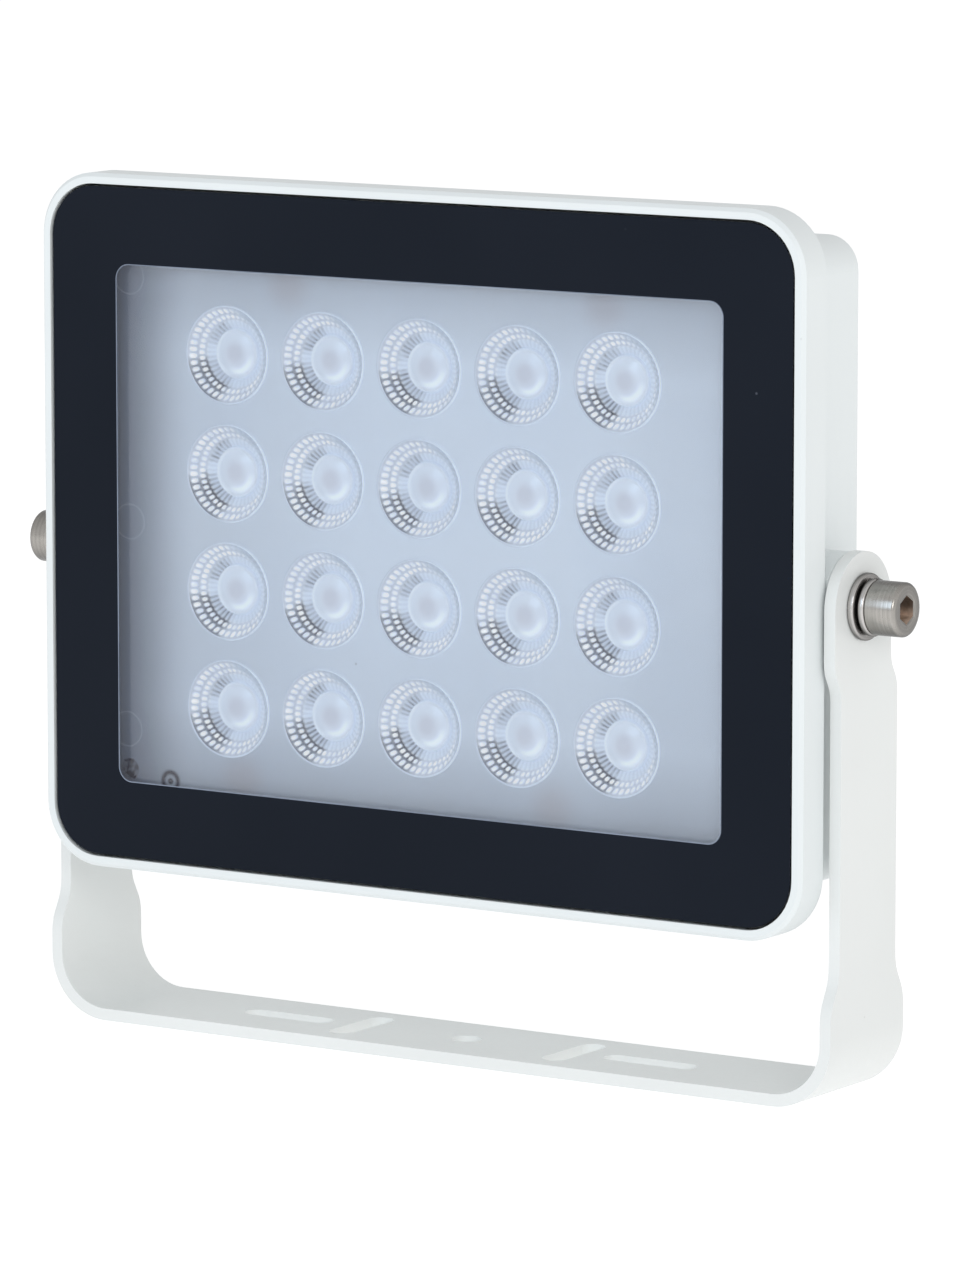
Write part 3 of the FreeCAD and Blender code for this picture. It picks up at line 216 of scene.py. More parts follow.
class Finish:
    """One procedural material. Its patterns lie in object coordinates, in metres."""

    def __init__(self, name, **sockets):
        self.material = bpy.data.materials.new(name)
        self.material.use_nodes = True
        self.tree = self.material.node_tree
        self.shader = self.tree.nodes["Principled BSDF"]
        self.place = wire(self.tree, "ShaderNodeTexCoord", "Object")
        for key, value in sockets.items():
            self.shader.inputs[key.replace("_", " ")].default_value = value

    def set(self, socket, value):
        feed(self.tree, self.shader.inputs[socket], value)

    def axes(self, place=None):
        node = add_node(self.tree, "ShaderNodeSeparateXYZ", {0: place or self.place})
        return [Wire(self.tree, output) for output in node.outputs]

    def vector(self, x, y, z):
        return wire(self.tree, "ShaderNodeCombineXYZ", 0, {0: x, 1: y, 2: z})

    def noise(self, scale, detail=2.0, place=None):
        return wire(self.tree, "ShaderNodeTexNoise", 0,
                    {"Vector": place or self.place, "Scale": scale, "Detail": detail})

    def cells(self, scale):
        """Distance to the nearest of many scattered points."""
        return wire(self.tree, "ShaderNodeTexVoronoi", "Distance", {"Vector": self.place, "Scale": scale})

    def span(self, value, low, high, to_low=0.0, to_high=1.0, smooth=False):
        """The value's range from low to high becomes to_low to to_high, held at both ends."""
        return wire(self.tree, "ShaderNodeMapRange", 0,
                    {0: value, 1: low, 2: high, 3: to_low, 4: to_high},
                    interpolation_type="SMOOTHSTEP" if smooth else "LINEAR")

    def mixed(self, share, first, second):
        """The first colour where the share is 0, the second where it is 1."""
        node = add_node(self.tree, "ShaderNodeMix", data_type="RGBA")
        sockets = [s for s in node.inputs if s.type == "RGBA"]
        feed(self.tree, node.inputs[0], share)
        feed(self.tree, sockets[0], first)
        feed(self.tree, sockets[1], second)
        return Wire(self.tree, next(s for s in node.outputs if s.type == "RGBA"))

    def darkened(self, colour, share):
        """The colour times a share that changes over the surface."""
        return wire(self.tree, "ShaderNodeVectorMath", 0, {0: colour, "Scale": share}, operation="SCALE")

    def bumped(self, height, distance, strength):
        self.set("Normal", wire(self.tree, "ShaderNodeBump", 0,
                                {"Height": height, "Distance": distance, "Strength": strength}))

    def spot(self, mark, radius, soft):
        """1 on a round spot on the face of the head, falling to 0 over the soft edge."""
        return self.span(self.away_from(mark), radius, radius + soft, 1.0, 0.0, smooth=True)

    def ring(self, mark, radius, width):
        """1 on a circle on the face of the head, falling to 0 over that width at each side."""
        off = (self.away_from(mark) - radius).math("ABSOLUTE")
        return self.span(off, 0.0, width, 1.0, 0.0, smooth=True)

    def away_from(self, mark):
        """Distance to a mark, given as X and Z from the middle of the head in millimetres."""
        x, _, z = self.axes()
        return length(x - mark[0] * MM, z - (HEAD_MIDDLE + mark[1] * MM))

    def attribute(self, name, output="Fac"):
        return wire(self.tree, "ShaderNodeAttribute", output, attribute_name=name)

    def coloured(self, colour, glow):
        """Sets the base colour, and lets the surface give off a share of it."""
        self.set("Base Color", colour)
        self.set("Emission Color", colour)
        self.set("Emission Strength", glow)


# Finishes

def linear(*screen):
    """A screen colour, 0 to 255, as the light that a shader takes."""
    return (*[((c / 255 + 0.055) / 1.055) ** 2.4 if c > 10 else c / 255 / 12.92 for c in screen], 1.0)


def behind_glass(*screen):
    """The base colour of a clear moulding that shows this screen colour behind the cover glass."""
    return (*[min(max((c - 0.06) / 0.80, 0.0), 0.98) for c in linear(*screen)[:3]], 1.0)


def white_coat(name, colour):
    """Baked powder coat: a fine orange peel and a few specks of dust under it."""
    coat = Finish(name, Specular_IOR_Level=0.5)
    peel = coat.noise(700.0)
    drift = coat.noise(22.0)
    flecks = coat.span(coat.cells(170.0), 0.035, 0.06, 1.0, 0.0)
    rare = coat.span(coat.noise(60.0), 0.60, 0.66)
    grade = coat.mixed(coat.span(drift, 0.35, 0.65), colour, [0.975 * c for c in colour[:3]] + [1.0])
    coat.set("Base Color", coat.mixed(flecks * rare * 0.30, grade, linear(120, 122, 120)))
    coat.set("Roughness", coat.span(peel, 0.3, 0.7, 0.36, 0.46))
    coat.bumped(peel, 0.05 * MM, 0.35)
    return coat.material


def clear_glass():
    """Toughened glass with a trace of haze, which softens the lenses behind it."""
    glass = Finish("clear_glass", Transmission_Weight=1.0, IOR=1.5, Specular_IOR_Level=0.35)
    dust = glass.span(glass.noise(35.0, 4.0), 0.35, 0.75)
    glass.set("Base Color", glass.mixed(dust, (0.97, 0.985, 0.99, 1.0), (0.94, 0.96, 0.975, 1.0)))
    glass.set("Roughness", glass.span(dust, 0.0, 1.0, 0.12, 0.14))
    return glass.material


def border_print():
    """Dark ceramic ink on the glass, with grains of dust."""
    ink = Finish("border_print", Specular_IOR_Level=0.10)
    cloud = ink.span(ink.noise(14.0), 0.35, 0.65)
    grade = ink.mixed(cloud, (0.0045, 0.0078, 0.0150, 1.0), (0.0065, 0.0100, 0.0180, 1.0))
    grains = ink.span(ink.cells(130.0), 0.03, 0.05, 1.0, 0.0)
    rare = ink.span(ink.noise(33.0), 0.58, 0.66)
    ink.set("Base Color", ink.mixed(grains * rare * 0.35, grade, linear(110, 115, 128)))
    ink.set("Roughness", ink.span(ink.noise(240.0, 3.0), 0.3, 0.7, 0.21, 0.23))
    return ink.material


def edge_line():
    """The light line at the edge of the window."""
    line = Finish("edge_line", Specular_IOR_Level=0.5)
    line.set("Base Color", line.mixed(line.noise(60.0), linear(104, 114, 132), linear(150, 162, 182)))
    line.set("Roughness", line.span(line.noise(300.0), 0.3, 0.7, 0.2, 0.4))
    return line.material


def frosted_plate():
    """The lens plate between the lenses: clear plastic with a fine frosted face, in painted shade of the
    frame, with a painted glow.
    """
    plate = Finish("frosted_plate", Specular_IOR_Level=0.35)
    x, _, z = plate.axes()
    light = plate.span(plate.noise(18.0), 0.3, 0.7, 0.97, 1.03)
    for axis, shades in ((x, SHADES_ACROSS), (z - HEAD_MIDDLE, SHADES_UP)):
        for start, end, first, last, smooth in shades:
            light = light * plate.span(axis, start * MM, end * MM, first, last, smooth)
    body = plate.mixed(light, (0.0, 0.012, 0.055, 1.0), behind_glass(193, 203, 217))
    stains = highest([plate.spot(mark, 1.0 * MM, 8.0 * MM) for mark in STAINS])
    stained = plate.mixed(stains * 0.28, body, (0.30, 0.25, 0.27, 1.0))
    rings = highest([plate.ring(mark, 4.3 * MM, 0.3 * MM) for mark in EJECTOR_MARKS])
    marked = plate.mixed(rings * 0.14, stained, behind_glass(196, 206, 222))
    speckles = plate.span(plate.noise(900.0), 0.45, 0.55, 0.35, 1.0)
    dials = highest([plate.spot(SPECKLED_DIAL, 2.5 * MM, 0.4 * MM) * speckles,
                     plate.ring(RINGED_DIAL, 2.2 * MM, 1.1 * MM),
                     plate.ring(RINGED_DIAL, 0.4 * MM, 0.7 * MM)])
    dust = plate.span(plate.cells(60.0), 0.018, 0.03, 1.0, 0.0)
    dark = highest([dials, dust * 0.35])
    plate.coloured(plate.mixed(dark, marked, behind_glass(62, 66, 78)), PAINTED_GLOW)
    frost = plate.noise(700.0)
    plate.set("Roughness", plate.span(frost, 0.3, 0.7, 0.46, 0.54))
    plate.bumped(frost, 0.02 * MM, 0.05)
    return plate.material


def painted_bead_light(clear, out_x, out_z, uneven):
    """Painted light and shade of the lens wall: white beads of painted highlight with grey gaps of painted
    shade in the outer rows, and dark streaks of painted shade in the fine row, darkest at the slants.
    """
    groove = clear.attribute("groove")
    row = clear.attribute("row")
    second = clear.span(row, 0.0, SECOND_KIND)
    fine = clear.span(row, SECOND_KIND, FINE_KIND)
    left = clear.span(out_x, -0.35, 0.0, 1.0, 0.0)
    blurred = out_x * out_z + clear.span(clear.noise(260.0), 0.3, 0.7, -0.08, 0.08)
    # painted shade in sectors at the lower left and upper left of each lens
    low_slant_shade = clear.span(blurred, 0.06, 0.38, smooth=True) * left
    high_slant_shade = clear.span(blurred, -0.45, -0.12, 1.0, 0.0, smooth=True) * left
    painted_slant_shade = highest([low_slant_shade, high_slant_shade])
    # white is the painted highlight on the beads; grey and gap are painted shade between them, deepest in the
    # second row at the low slant
    white = clear.mixed(uneven, behind_glass(212, 219, 232), behind_glass(242, 245, 251))
    grey = clear.mixed(low_slant_shade, behind_glass(186, 194, 208), behind_glass(120, 127, 141))
    gap = clear.mixed(low_slant_shade * second, grey, behind_glass(74, 79, 92))
    beads = clear.mixed(clear.span(groove, 0.30, 0.90, smooth=True), white, gap)
    # fine row: painted highlight on the ridges, painted shade in the valleys, darker at the slants
    ridge = clear.mixed(painted_slant_shade, behind_glass(200, 210, 225), behind_glass(184, 193, 208))
    valley = clear.mixed(painted_slant_shade * clear.span(uneven, 0.0, 1.0, 0.4, 1.0), behind_glass(190, 200, 215),
                         behind_glass(108, 115, 129))
    streaks = clear.mixed(clear.span(groove, 0.0, 0.8, smooth=True), ridge, valley)
    return clear.mixed(fine, beads, streaks)


def faceted_clear():
    """Polished lens walls: beaded where they face the eye, and smooth where they are seen aslant, with a pale
    painted reflection there, a painted highlight on the rim toward the right, and a painted glow.
    """
    clear = Finish("faceted_clear", Specular_IOR_Level=0.6, Coat_Weight=0.35, Coat_Roughness=0.10)
    out_x, _, out_z = clear.axes(clear.attribute("round", "Vector"))
    uneven = clear.span(clear.noise(430.0), 0.35, 0.65)
    wall = painted_bead_light(clear, out_x, out_z, uneven)
    outward = wire(clear.tree, "ShaderNodeVectorTransform", 0, {"Vector": clear.attribute("slope", "Vector")},
                   vector_type="NORMAL", convert_from="OBJECT", convert_to="WORLD")
    aslant = wire(clear.tree, "ShaderNodeLayerWeight", "Facing", {"Normal": outward})
    smooth = clear.span(aslant + out_z * 0.10, 0.58, 0.86, smooth=True)
    # painted reflection: a pale smooth tone where the wall is seen aslant
    turned = clear.mixed(smooth, wall, behind_glass(178, 190, 206))
    # painted highlight: the rim is lighter toward the right side
    edge = clear.mixed(clear.span(out_x, -0.4, 0.8), behind_glass(188, 198, 213), behind_glass(208, 218, 232))
    clear.coloured(clear.mixed(clear.attribute("rim"), turned, edge), PAINTED_GLOW)
    clear.set("Roughness", clear.span(uneven, 0.0, 1.0, 0.12, 0.22))
    blend = add_node(clear.tree, "ShaderNodeMix", {0: smooth}, data_type="VECTOR")
    beaded, plain = [socket for socket in blend.inputs if socket.type == "VECTOR" and socket.name != "Factor"]
    feed(clear.tree, beaded, wire(clear.tree, "ShaderNodeNewGeometry", "Normal"))
    feed(clear.tree, plain, outward)
    blended = next(socket for socket in blend.outputs if socket.type == "VECTOR")
    clear.set("Normal", wire(clear.tree, "ShaderNodeVectorMath", 0, {0: Wire(clear.tree, blended)},
                             operation="NORMALIZE"))
    return clear.material


def dome_clear():
    """The smooth dome in the middle of a lens, with the faint squares of the emitter showing through, painted
    highlights of a bright crescent at the lower right and a lighter collar at the left, and a painted glow.
    """
    clear = Finish("dome_clear", Specular_IOR_Level=0.6, Coat_Weight=0.6, Coat_Roughness=0.06)
    across = add_node(clear.tree, "ShaderNodeUVMap", uv_map="lens_face")
    u, v, _ = clear.axes(Wire(clear.tree, across.outputs[0]))
    away = length(u, v)
    odd_column, odd_row = [(axis * 1.1).math("FRACT").math("GREATER_THAN", 0.5) for axis in (u, v)]
    chip = (odd_column - odd_row).math("ABSOLUTE") * clear.span(away, 1.6, 2.6, 1.0, 0.0, smooth=True)
    body = clear.mixed(clear.span(away, 1.0, 4.2, smooth=True), behind_glass(186, 192, 206),
                       behind_glass(198, 207, 220))
    band = clear.span((away - 4.4).math("ABSOLUTE"), 0.1, 1.3, 1.0, 0.0, smooth=True)
    low_right = clear.span((u * 0.47 - v * 0.88) / away, 0.35, 1.0, smooth=True)
    collar = clear.span((away - 5.7).math("ABSOLUTE"), 0.0, 0.6, 1.0, 0.0, smooth=True)
    left = clear.span(u, -5.5, 1.0, 1.0, 0.0, smooth=True)
    # painted highlights: the crescent band at the lower right and the collar on the left
    gleam = highest([band * low_right * 0.9, collar * left * 0.4])
    lit = clear.mixed(gleam, body, behind_glass(219, 228, 241))
    clear.coloured(clear.mixed(chip * 0.12, lit, behind_glass(160, 168, 182)), PAINTED_GLOW)
    clear.set("Roughness", clear.span(clear.noise(500.0), 0.3, 0.7, 0.10, 0.20))
    return clear.material


def stainless(name, light, dark):
    """Stainless steel turned about the pivot axis, darker where it is seen aslant: a painted dark reflection.
    """
    steel = Finish(name, Metallic=1.0)
    x, y, z = steel.axes()
    away = length(y - CLAMP_AXIS.y, z - CLAMP_AXIS.z)
    lines = steel.noise(1.0, 2.0, steel.vector(x * 1700.0, away * 1700.0, 0.0))
    mottle = steel.noise(260.0)
    # painted reflection: the steel darkens toward the parts seen aslant
    aslant = steel.span(wire(steel.tree, "ShaderNodeLayerWeight", "Facing"), 0.10, 0.80, smooth=True)
    tone = steel.mixed(aslant, (*light, 1.0), (*dark, 1.0))
    streaks = steel.span(lines, 0.3, 0.7, 0.80, 1.10) * steel.span(mottle, 0.3, 0.7, 0.93, 1.05)
    steel.set("Base Color", steel.darkened(tone, streaks))
    steel.set("Roughness", steel.span(mottle, 0.3, 0.7, 0.22, 0.30))
    steel.bumped(lines, 0.01 * MM, 0.15)
    return steel.material


def stained_socket():
    """The inside of the hexagon socket, brown with thread lock and dust, with painted light on its lower
    facets and painted shade over its upper half.
    """
    inside = Finish("stained_socket", Metallic=0.3)
    stain = inside.noise(420.0, 3.0)
    _, _, z = inside.axes()
    # painted light and shade: lighter below the pivot axis, darker above it
    low = inside.span(z - CLAMP_AXIS.z, -2.0 * MM, 0.8 * MM, 1.0, 0.25, smooth=True)
    brown = inside.mixed(inside.span(stain, 0.35, 0.65), (0.42, 0.30, 0.22, 1.0), (0.82, 0.64, 0.52, 1.0))
    inside.set("Base Color", inside.darkened(brown, low))
    inside.set("Roughness", inside.span(stain, 0.3, 0.7, 0.30, 0.45))
    return inside.material


def grained(name, first, second, scale, rough, metallic=0.0):
    """A cast, moulded or pressed surface of two near tones, with its own grain."""
    surface = Finish(name, Metallic=metallic)
    grain = surface.noise(scale, 4.0)
    broad = surface.noise(scale / 9.0)
    surface.set("Base Color", surface.mixed(surface.span(grain * 0.5 + broad * 0.5, 0.3, 0.7), first, second))
    surface.set("Roughness", surface.span(grain, 0.3, 0.7, rough - 0.07, rough + 0.07))
    surface.bumped(grain, 0.04 * MM, 0.4)
    return surface.material


def board_print(name, mask, copper, scale):
    """A circuit board: solder mask over straight tracks."""
    board = Finish(name, Specular_IOR_Level=0.5)
    x, y, z = board.axes()
    sizes = {"Scale": scale, "Mortar Size": 0.02, "Mortar Smooth": 0.1}
    tracks = wire(board.tree, "ShaderNodeTexBrick", "Fac", {"Vector": board.vector(x, z, y), **sizes})
    board.set("Base Color", board.mixed(tracks * 0.6, mask, copper))
    board.set("Roughness", board.span(board.noise(600.0), 0.3, 0.7, 0.3, 0.42))
    board.bumped(tracks, 0.03 * MM, 0.3)
    return board.material


# Meshes

def finished(name, mesh, material):
    piece = bpy.data.objects.new(name, mesh)
    bpy.context.scene.collection.objects.link(piece)
    mesh.materials.append(material)
    return piece


def rounded_loop(width, height, corner):
    """Corners of a rounded rectangle round the middle of the head, as X and Z."""
    points = []
    for quarter in range(4):
        turn = quarter * math.pi / 2
        cx = (width / 2 - corner) * (1 if quarter in (0, 3) else -1)
        cz = (height / 2 - corner) * (1 if quarter in (0, 1) else -1)
        for i in range(CORNER_STEPS + 1):
            angle = turn + i * math.pi / 2 / CORNER_STEPS
            points.append((cx + corner * math.cos(angle), cz + corner * math.sin(angle)))
    return points


def round_loop(x, z, radius, steps=80):
    return [(x + radius * math.cos(2 * math.pi * i / steps), z + radius * math.sin(2 * math.pi * i / steps))
            for i in range(steps)]


def block_loop(low_x, high_x, low_z, high_z):
    return [(low_x, low_z), (high_x, low_z), (high_x, high_z), (low_x, high_z)]


def slab_mesh(loops, front, back):
    """Flat part of closed loops in the X-Z plane, between two depths. Inner loops are holes."""
    outline = bpy.data.curves.new("outline", "CURVE")
    outline.dimensions = "2D"
    outline.fill_mode = "BOTH"
    outline.extrude = (back - front) / 2
    for loop in loops:
        spline = outline.splines.new("POLY")
        spline.points.add(len(loop) - 1)
        for point, (x, z) in zip(spline.points, loop):
            point.co = (x, z, 0, 1)
        spline.use_cyclic_u = True
    holder = bpy.data.objects.new("outline", outline)
    bpy.context.scene.collection.objects.link(holder)
    mesh = bpy.data.meshes.new_from_object(holder.evaluated_get(bpy.context.evaluated_depsgraph_get()))
    bpy.data.objects.remove(holder)
    upright = Matrix.Rotation(math.pi / 2, 4, "X")
    mesh.transform(Matrix.Translation((0, (front + back) / 2, HEAD_MIDDLE)) @ upright)
    return mesh


def joined(meshes):
    """The meshes as one, welded where they meet."""
    whole = bmesh.new()
    for mesh in meshes:
        whole.from_mesh(mesh)
    bmesh.ops.remove_doubles(whole, verts=whole.verts, dist=WELD)
    bmesh.ops.recalc_face_normals(whole, faces=whole.faces)
    for face in whole.faces:
        face.smooth = True
    mesh = bpy.data.meshes.new("joined")
    whole.to_mesh(mesh)
    whole.free()
    mesh.set_sharp_from_angle(angle=math.radians(JOINED_SHARP))
    return mesh


def lens_places():
    """X and Z of each lens, from the middle of the head."""
    across = [(i - (LENS_COLUMNS - 1) / 2) * LENS_PITCH_X for i in range(LENS_COLUMNS)]
    up = [(j - (LENS_ROWS - 1) / 2) * LENS_PITCH_Z - LENS_DROP for j in range(LENS_ROWS)]
    return [(x, z) for x in across for z in up]


def bead_row(ends, tiers, shift, swell, kind):
    """Rings of one beaded row: radius, depth, how far the beads stand out, lift, shift, slope and kind."""
    (r0, d0), (r1, d1) = ends
    run = math.hypot(r1 - r0, d1 - d0)
    slope = ((d1 - d0) / run, (r0 - r1) / run)
    rings = []
    for tier in range(tiers + 1):
        share = tier / tiers
        lift = math.sin(math.pi * share) if 0 < share < 1 else 0.0
        rings.append((r0 + (r1 - r0) * share, d0 + (d1 - d0) * share, swell, lift, shift, slope, kind))
    return rings


def lens_wall_mesh():
    """The beaded wall of one lens as a closed ring, round the origin, facing -Y."""
    steps = FLUTES * STEPS_PER_FLUTE
    plain = (0.0, 1.0, 0, (0.0, 1.0), FIRST_KIND)
    rings = [(r, d, *plain) for r, d in RIM]
    rings += bead_row(FIRST_ROW, 5, 0, BEAD_SWELL, FIRST_KIND)
    rings += bead_row(SECOND_ROW, 4, STEPS_PER_FLUTE // 2, BEAD_SWELL * 0.85, SECOND_KIND)[1:]
    rings += bead_row(FINE_ROW, 4, 0, BEAD_SWELL * 0.35, FINE_KIND)[1:]
    rings += [(r, d, *plain) for r, d in WALL_BACK]
    shell = bmesh.new()
    shares = {name: shell.verts.layers.float.new(name) for name in ("groove", "row", "rim")}
    vectors = {name: shell.verts.layers.float_vector.new(name) for name in ("slope", "round")}
    made = []
    for radius, depth, swell, lift, shift, (inward, forward), kind in rings:
        ring = []
        for step in range(steps):
            angle = 2 * math.pi * step / steps
            crest = abs(math.sin(FLUTES * angle / 2 + math.pi * shift / STEPS_PER_FLUTE))
            out = swell * lift ** 0.6 * crest
            r = (radius - out * inward) * MM
            vert = shell.verts.new((r * math.cos(angle), (depth - out * forward) * MM, r * math.sin(angle)))
            height = crest if kind == FINE_KIND else lift * crest
            vert[shares["groove"]] = 1.0 - height if swell else 0.0
            vert[shares["row"]] = kind
            vert[shares["rim"]] = 0.0 if swell else 1.0
            vert[vectors["slope"]] = (-inward * math.cos(angle), -forward, -inward * math.sin(angle))
            vert[vectors["round"]] = (math.cos(angle), 0.0, math.sin(angle))
            ring.append(vert)
        made.append(ring)
    for first, second in zip(made, made[1:] + made[:1]):
        for step in range(steps):
            after = (step + 1) % steps
            shell.faces.new((first[step], first[after], second[after], second[step]))
    return closed_mesh(shell, "lens_wall")


def dome_mesh():
    """The collar and the dome in the middle of one lens, closed behind."""
    shell = bmesh.new()
    layer = shell.loops.layers.uv.new("lens_face")
    made = []
    for radius, depth in DOME:
        if radius == 0.0:
            made.append([shell.verts.new((0, depth * MM, 0))])
            continue
        made.append([shell.verts.new((radius * MM * math.cos(2 * math.pi * k / DOME_STEPS), depth * MM,
                                      radius * MM * math.sin(2 * math.pi * k / DOME_STEPS)))
                     for k in range(DOME_STEPS)])
    for first, second in zip(made, made[1:]):
        for k in range(DOME_STEPS):
            after = (k + 1) % DOME_STEPS
            if len(first) == 1:
                shell.faces.new((first[0], second[after], second[k]))
            elif len(second) == 1:
                shell.faces.new((first[k], first[after], second[0]))
            else:
                shell.faces.new((first[k], first[after], second[after], second[k]))
    for face in shell.faces:
        for loop in face.loops:
            loop[layer].uv = (loop.vert.co.x / MM, loop.vert.co.z / MM)
    return closed_mesh(shell, "lens_dome")


def closed_mesh(shell, name):
    bmesh.ops.recalc_face_normals(shell, faces=shell.faces)
    for face in shell.faces:
        face.smooth = True
    mesh = bpy.data.meshes.new(name)
    shell.to_mesh(mesh)
    shell.free()
    mesh.set_sharp_from_angle(angle=math.radians(CLOSED_SHARP))
    return mesh


def lens_field_tree():
    """Sets one lens part at every place of the lens field."""
    tree = bpy.data.node_groups.new("lens_field", "GeometryNodeTree")
    face = tree.interface
    face.new_socket("Geometry", in_out="INPUT", socket_type="NodeSocketGeometry")
    for name, kind in (("Columns", "Int"), ("Rows", "Int"), ("Column Pitch", "Float"), ("Row Pitch", "Float"),
                       ("Middle", "Vector"), ("Finish", "Material")):
        face.new_socket(name, in_out="INPUT", socket_type="NodeSocket" + kind)
    face.new_socket("Geometry", in_out="OUTPUT", socket_type="NodeSocketGeometry")
    start = add_node(tree, "NodeGroupInput")
    given = {socket.name: Wire(tree, socket) for socket in start.outputs if socket.name}
    grid = wire(tree, "GeometryNodeMeshGrid", 0,
                {"Size X": (given["Columns"] - 1.0) * given["Column Pitch"],
                 "Size Y": (given["Rows"] - 1.0) * given["Row Pitch"],
                 "Vertices X": given["Columns"], "Vertices Y": given["Rows"]})
    upright = wire(tree, "GeometryNodeTransform", 0,
                   {"Geometry": grid, "Rotation": (math.pi / 2, 0.0, 0.0), "Translation": given["Middle"]})
    placed = wire(tree, "GeometryNodeInstanceOnPoints", 0, {"Points": upright, "Instance": given["Geometry"]})
    real = wire(tree, "GeometryNodeRealizeInstances", 0, {"Geometry": placed})
    coated = wire(tree, "GeometryNodeSetMaterial", 0, {"Geometry": real, "Material": given["Finish"]})
    end = add_node(tree, "NodeGroupOutput")
    tree.links.new(coated.socket, end.inputs[0])
    return tree


def grown(name, mesh, tree, inputs):
    """The mesh after a geometry tree, as a plain mesh object."""
    piece = finished(name, mesh, inputs["Finish"])
    modifier = piece.modifiers.new("grow", "NODES")
    modifier.node_group = tree
    for socket in tree.interface.items_tree:
        if socket.in_out == "INPUT" and socket.name in inputs:
            modifier[socket.identifier] = inputs[socket.name]
    graph = bpy.context.evaluated_depsgraph_get()
    baked = bpy.data.meshes.new_from_object(piece.evaluated_get(graph), preserve_all_data_layers=True,
                                            depsgraph=graph)
    piece.modifiers.clear()
    piece.data = baked
    return piece


# Pieces of the lamp head

def lens_sheet():
    """The frosted plate with a hole for each lens, and its four legs with screwed feet."""
    holes = [round_loop(x, z, LENS_HOLE) for x, z in lens_places()]
    outline = rounded_loop(PLATE_WIDTH, PLATE_HEIGHT, PLATE_CORNER)
    parts = [slab_mesh([outline, *holes], PLATE_FRONT, PLATE_BACK)]
    edge = PLATE_WIDTH / 2
    reach = LENS_HIGH.x
    floor = LENS_HIGH.y
    for side in (-1, 1):
        for z in (-LEG_Z, LEG_Z):
            leg = sorted((side * (edge - LEG_THICK), side * edge))
            foot = sorted((side * edge, side * reach))
            low, high = z - LEG_WIDTH / 2, z + LEG_WIDTH / 2
            parts.append(slab_mesh([block_loop(*leg, low, high)], PLATE_BACK, floor))
            parts.append(slab_mesh([block_loop(*foot, low, high),
                                    round_loop(side * (edge + reach) / 2, z, FOOT_HOLE, 24)],
                                   floor - FOOT_THICK, floor))
    return finished("lens_sheet", joined(parts), frosted_plate())


def window_edge():
    loops = [rounded_loop(WINDOW_WIDTH, WINDOW_HEIGHT, WINDOW_CORNER),
             rounded_loop(WINDOW_WIDTH - 2 * WINDOW_EDGE, WINDOW_HEIGHT - 2 * WINDOW_EDGE,
                          WINDOW_CORNER - WINDOW_EDGE)]
    return finished("window_edge", joined([slab_mesh(loops, BORDER_FRONT, GLASS_LOW.y)]), edge_line())


def lens_parts():
    tree = lens_field_tree()
    middle = (0.0, LENS_FACE, HEAD_MIDDLE - LENS_DROP)
    sizes = {"Columns": LENS_COLUMNS, "Rows": LENS_ROWS, "Middle": middle,
             "Column Pitch": LENS_PITCH_X, "Row Pitch": LENS_PITCH_Z}
    return [grown("lens_walls", lens_wall_mesh(), tree, {**sizes, "Finish": faceted_clear()}),
            grown("lens_domes", dome_mesh(), tree, {**sizes, "Finish": dome_clear()})]


def turned_mesh(profile, cut=0.0):
    """A part turned about the pivot axis, from rings of X, radius and hexagon or round.

    A profile that ends at its first radius has a hole. A cut, in degrees, leaves a gap at the top.
    Faces between two hexagons, and the face that closes the last one, get the second material.
    """
    shell = bmesh.new()
    steps = TURNED_STEPS + (1 if cut else 0)
    made = []
    for x, radius, hexagon in profile:
        ring = []
        for step in range(steps):
            angle = math.radians(90.0 + cut / 2 + (360.0 - cut) * step / TURNED_STEPS)
            sixth = (angle + math.pi / 6) % (math.pi / 3) - math.pi / 6
            reach = radius / math.cos(sixth) if hexagon else radius
            ring.append(shell.verts.new((x, CLAMP_AXIS.y + reach * math.cos(angle),
                                         CLAMP_AXIS.z + reach * math.sin(angle))))
        made.append(ring)
    kinds = [hexagon for x, radius, hexagon in profile]
    hollow = profile[0][1] == profile[-1][1]
    for i in range(len(made) if hollow else len(made) - 1):
        first, second = made[i], made[(i + 1) % len(made)]
        for step in range(TURNED_STEPS):
            after = (step + 1) % steps
            face = shell.faces.new((first[step], first[after], second[after], second[step]))
            face.material_index = 1 if kinds[i] and kinds[(i + 1) % len(made)] else 0
    if cut:
        shell.faces.new([ring[0] for ring in made])
        shell.faces.new([ring[-1] for ring in made])
    if not hollow:
        shell.faces.new(made[0])
        shell.faces.new(made[-1]).material_index = 1
    return closed_mesh(shell, "turned")


def corner_arc(x, radius, corner, toward):
    """Points of a rounded outer edge that ends a turned part at x; toward is 1 where the part ends there."""
    points = []
    for i in range(ARC_STEPS + 1):
        angle = math.pi / 2 * i / ARC_STEPS
        inward = corner * (1 - math.sin(angle))
        points.append((x - toward * inward, radius - corner * (1 - math.cos(angle)), 0))
    return points[::toward]


def washer_profile(low_x, high_x, radius, corner):
    return [(low_x, WASHER_HOLE, 0), *corner_arc(low_x, radius, corner, -1),
            *corner_arc(high_x, radius, corner, 1), (high_x, WASHER_HOLE, 0)]


def clamp_piece(name, node, profile, material, cut=0.0):
    """The same turned part at both ends of the pivot, in place of the node's solids."""
    right = turned_mesh(profile, cut)
    left = right.copy()
    left.transform(Matrix.Diagonal((-1, 1, 1, 1)))
    piece = finished(name, joined([right, left]), material)
    if any(hexagon for x, radius, hexagon in profile):
        piece.data.materials.append(stained_socket())
    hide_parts(node)
    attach(piece, "lamp_head")


def node_radius(node):
    low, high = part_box(node)
    return (high.z - low.z) / 2


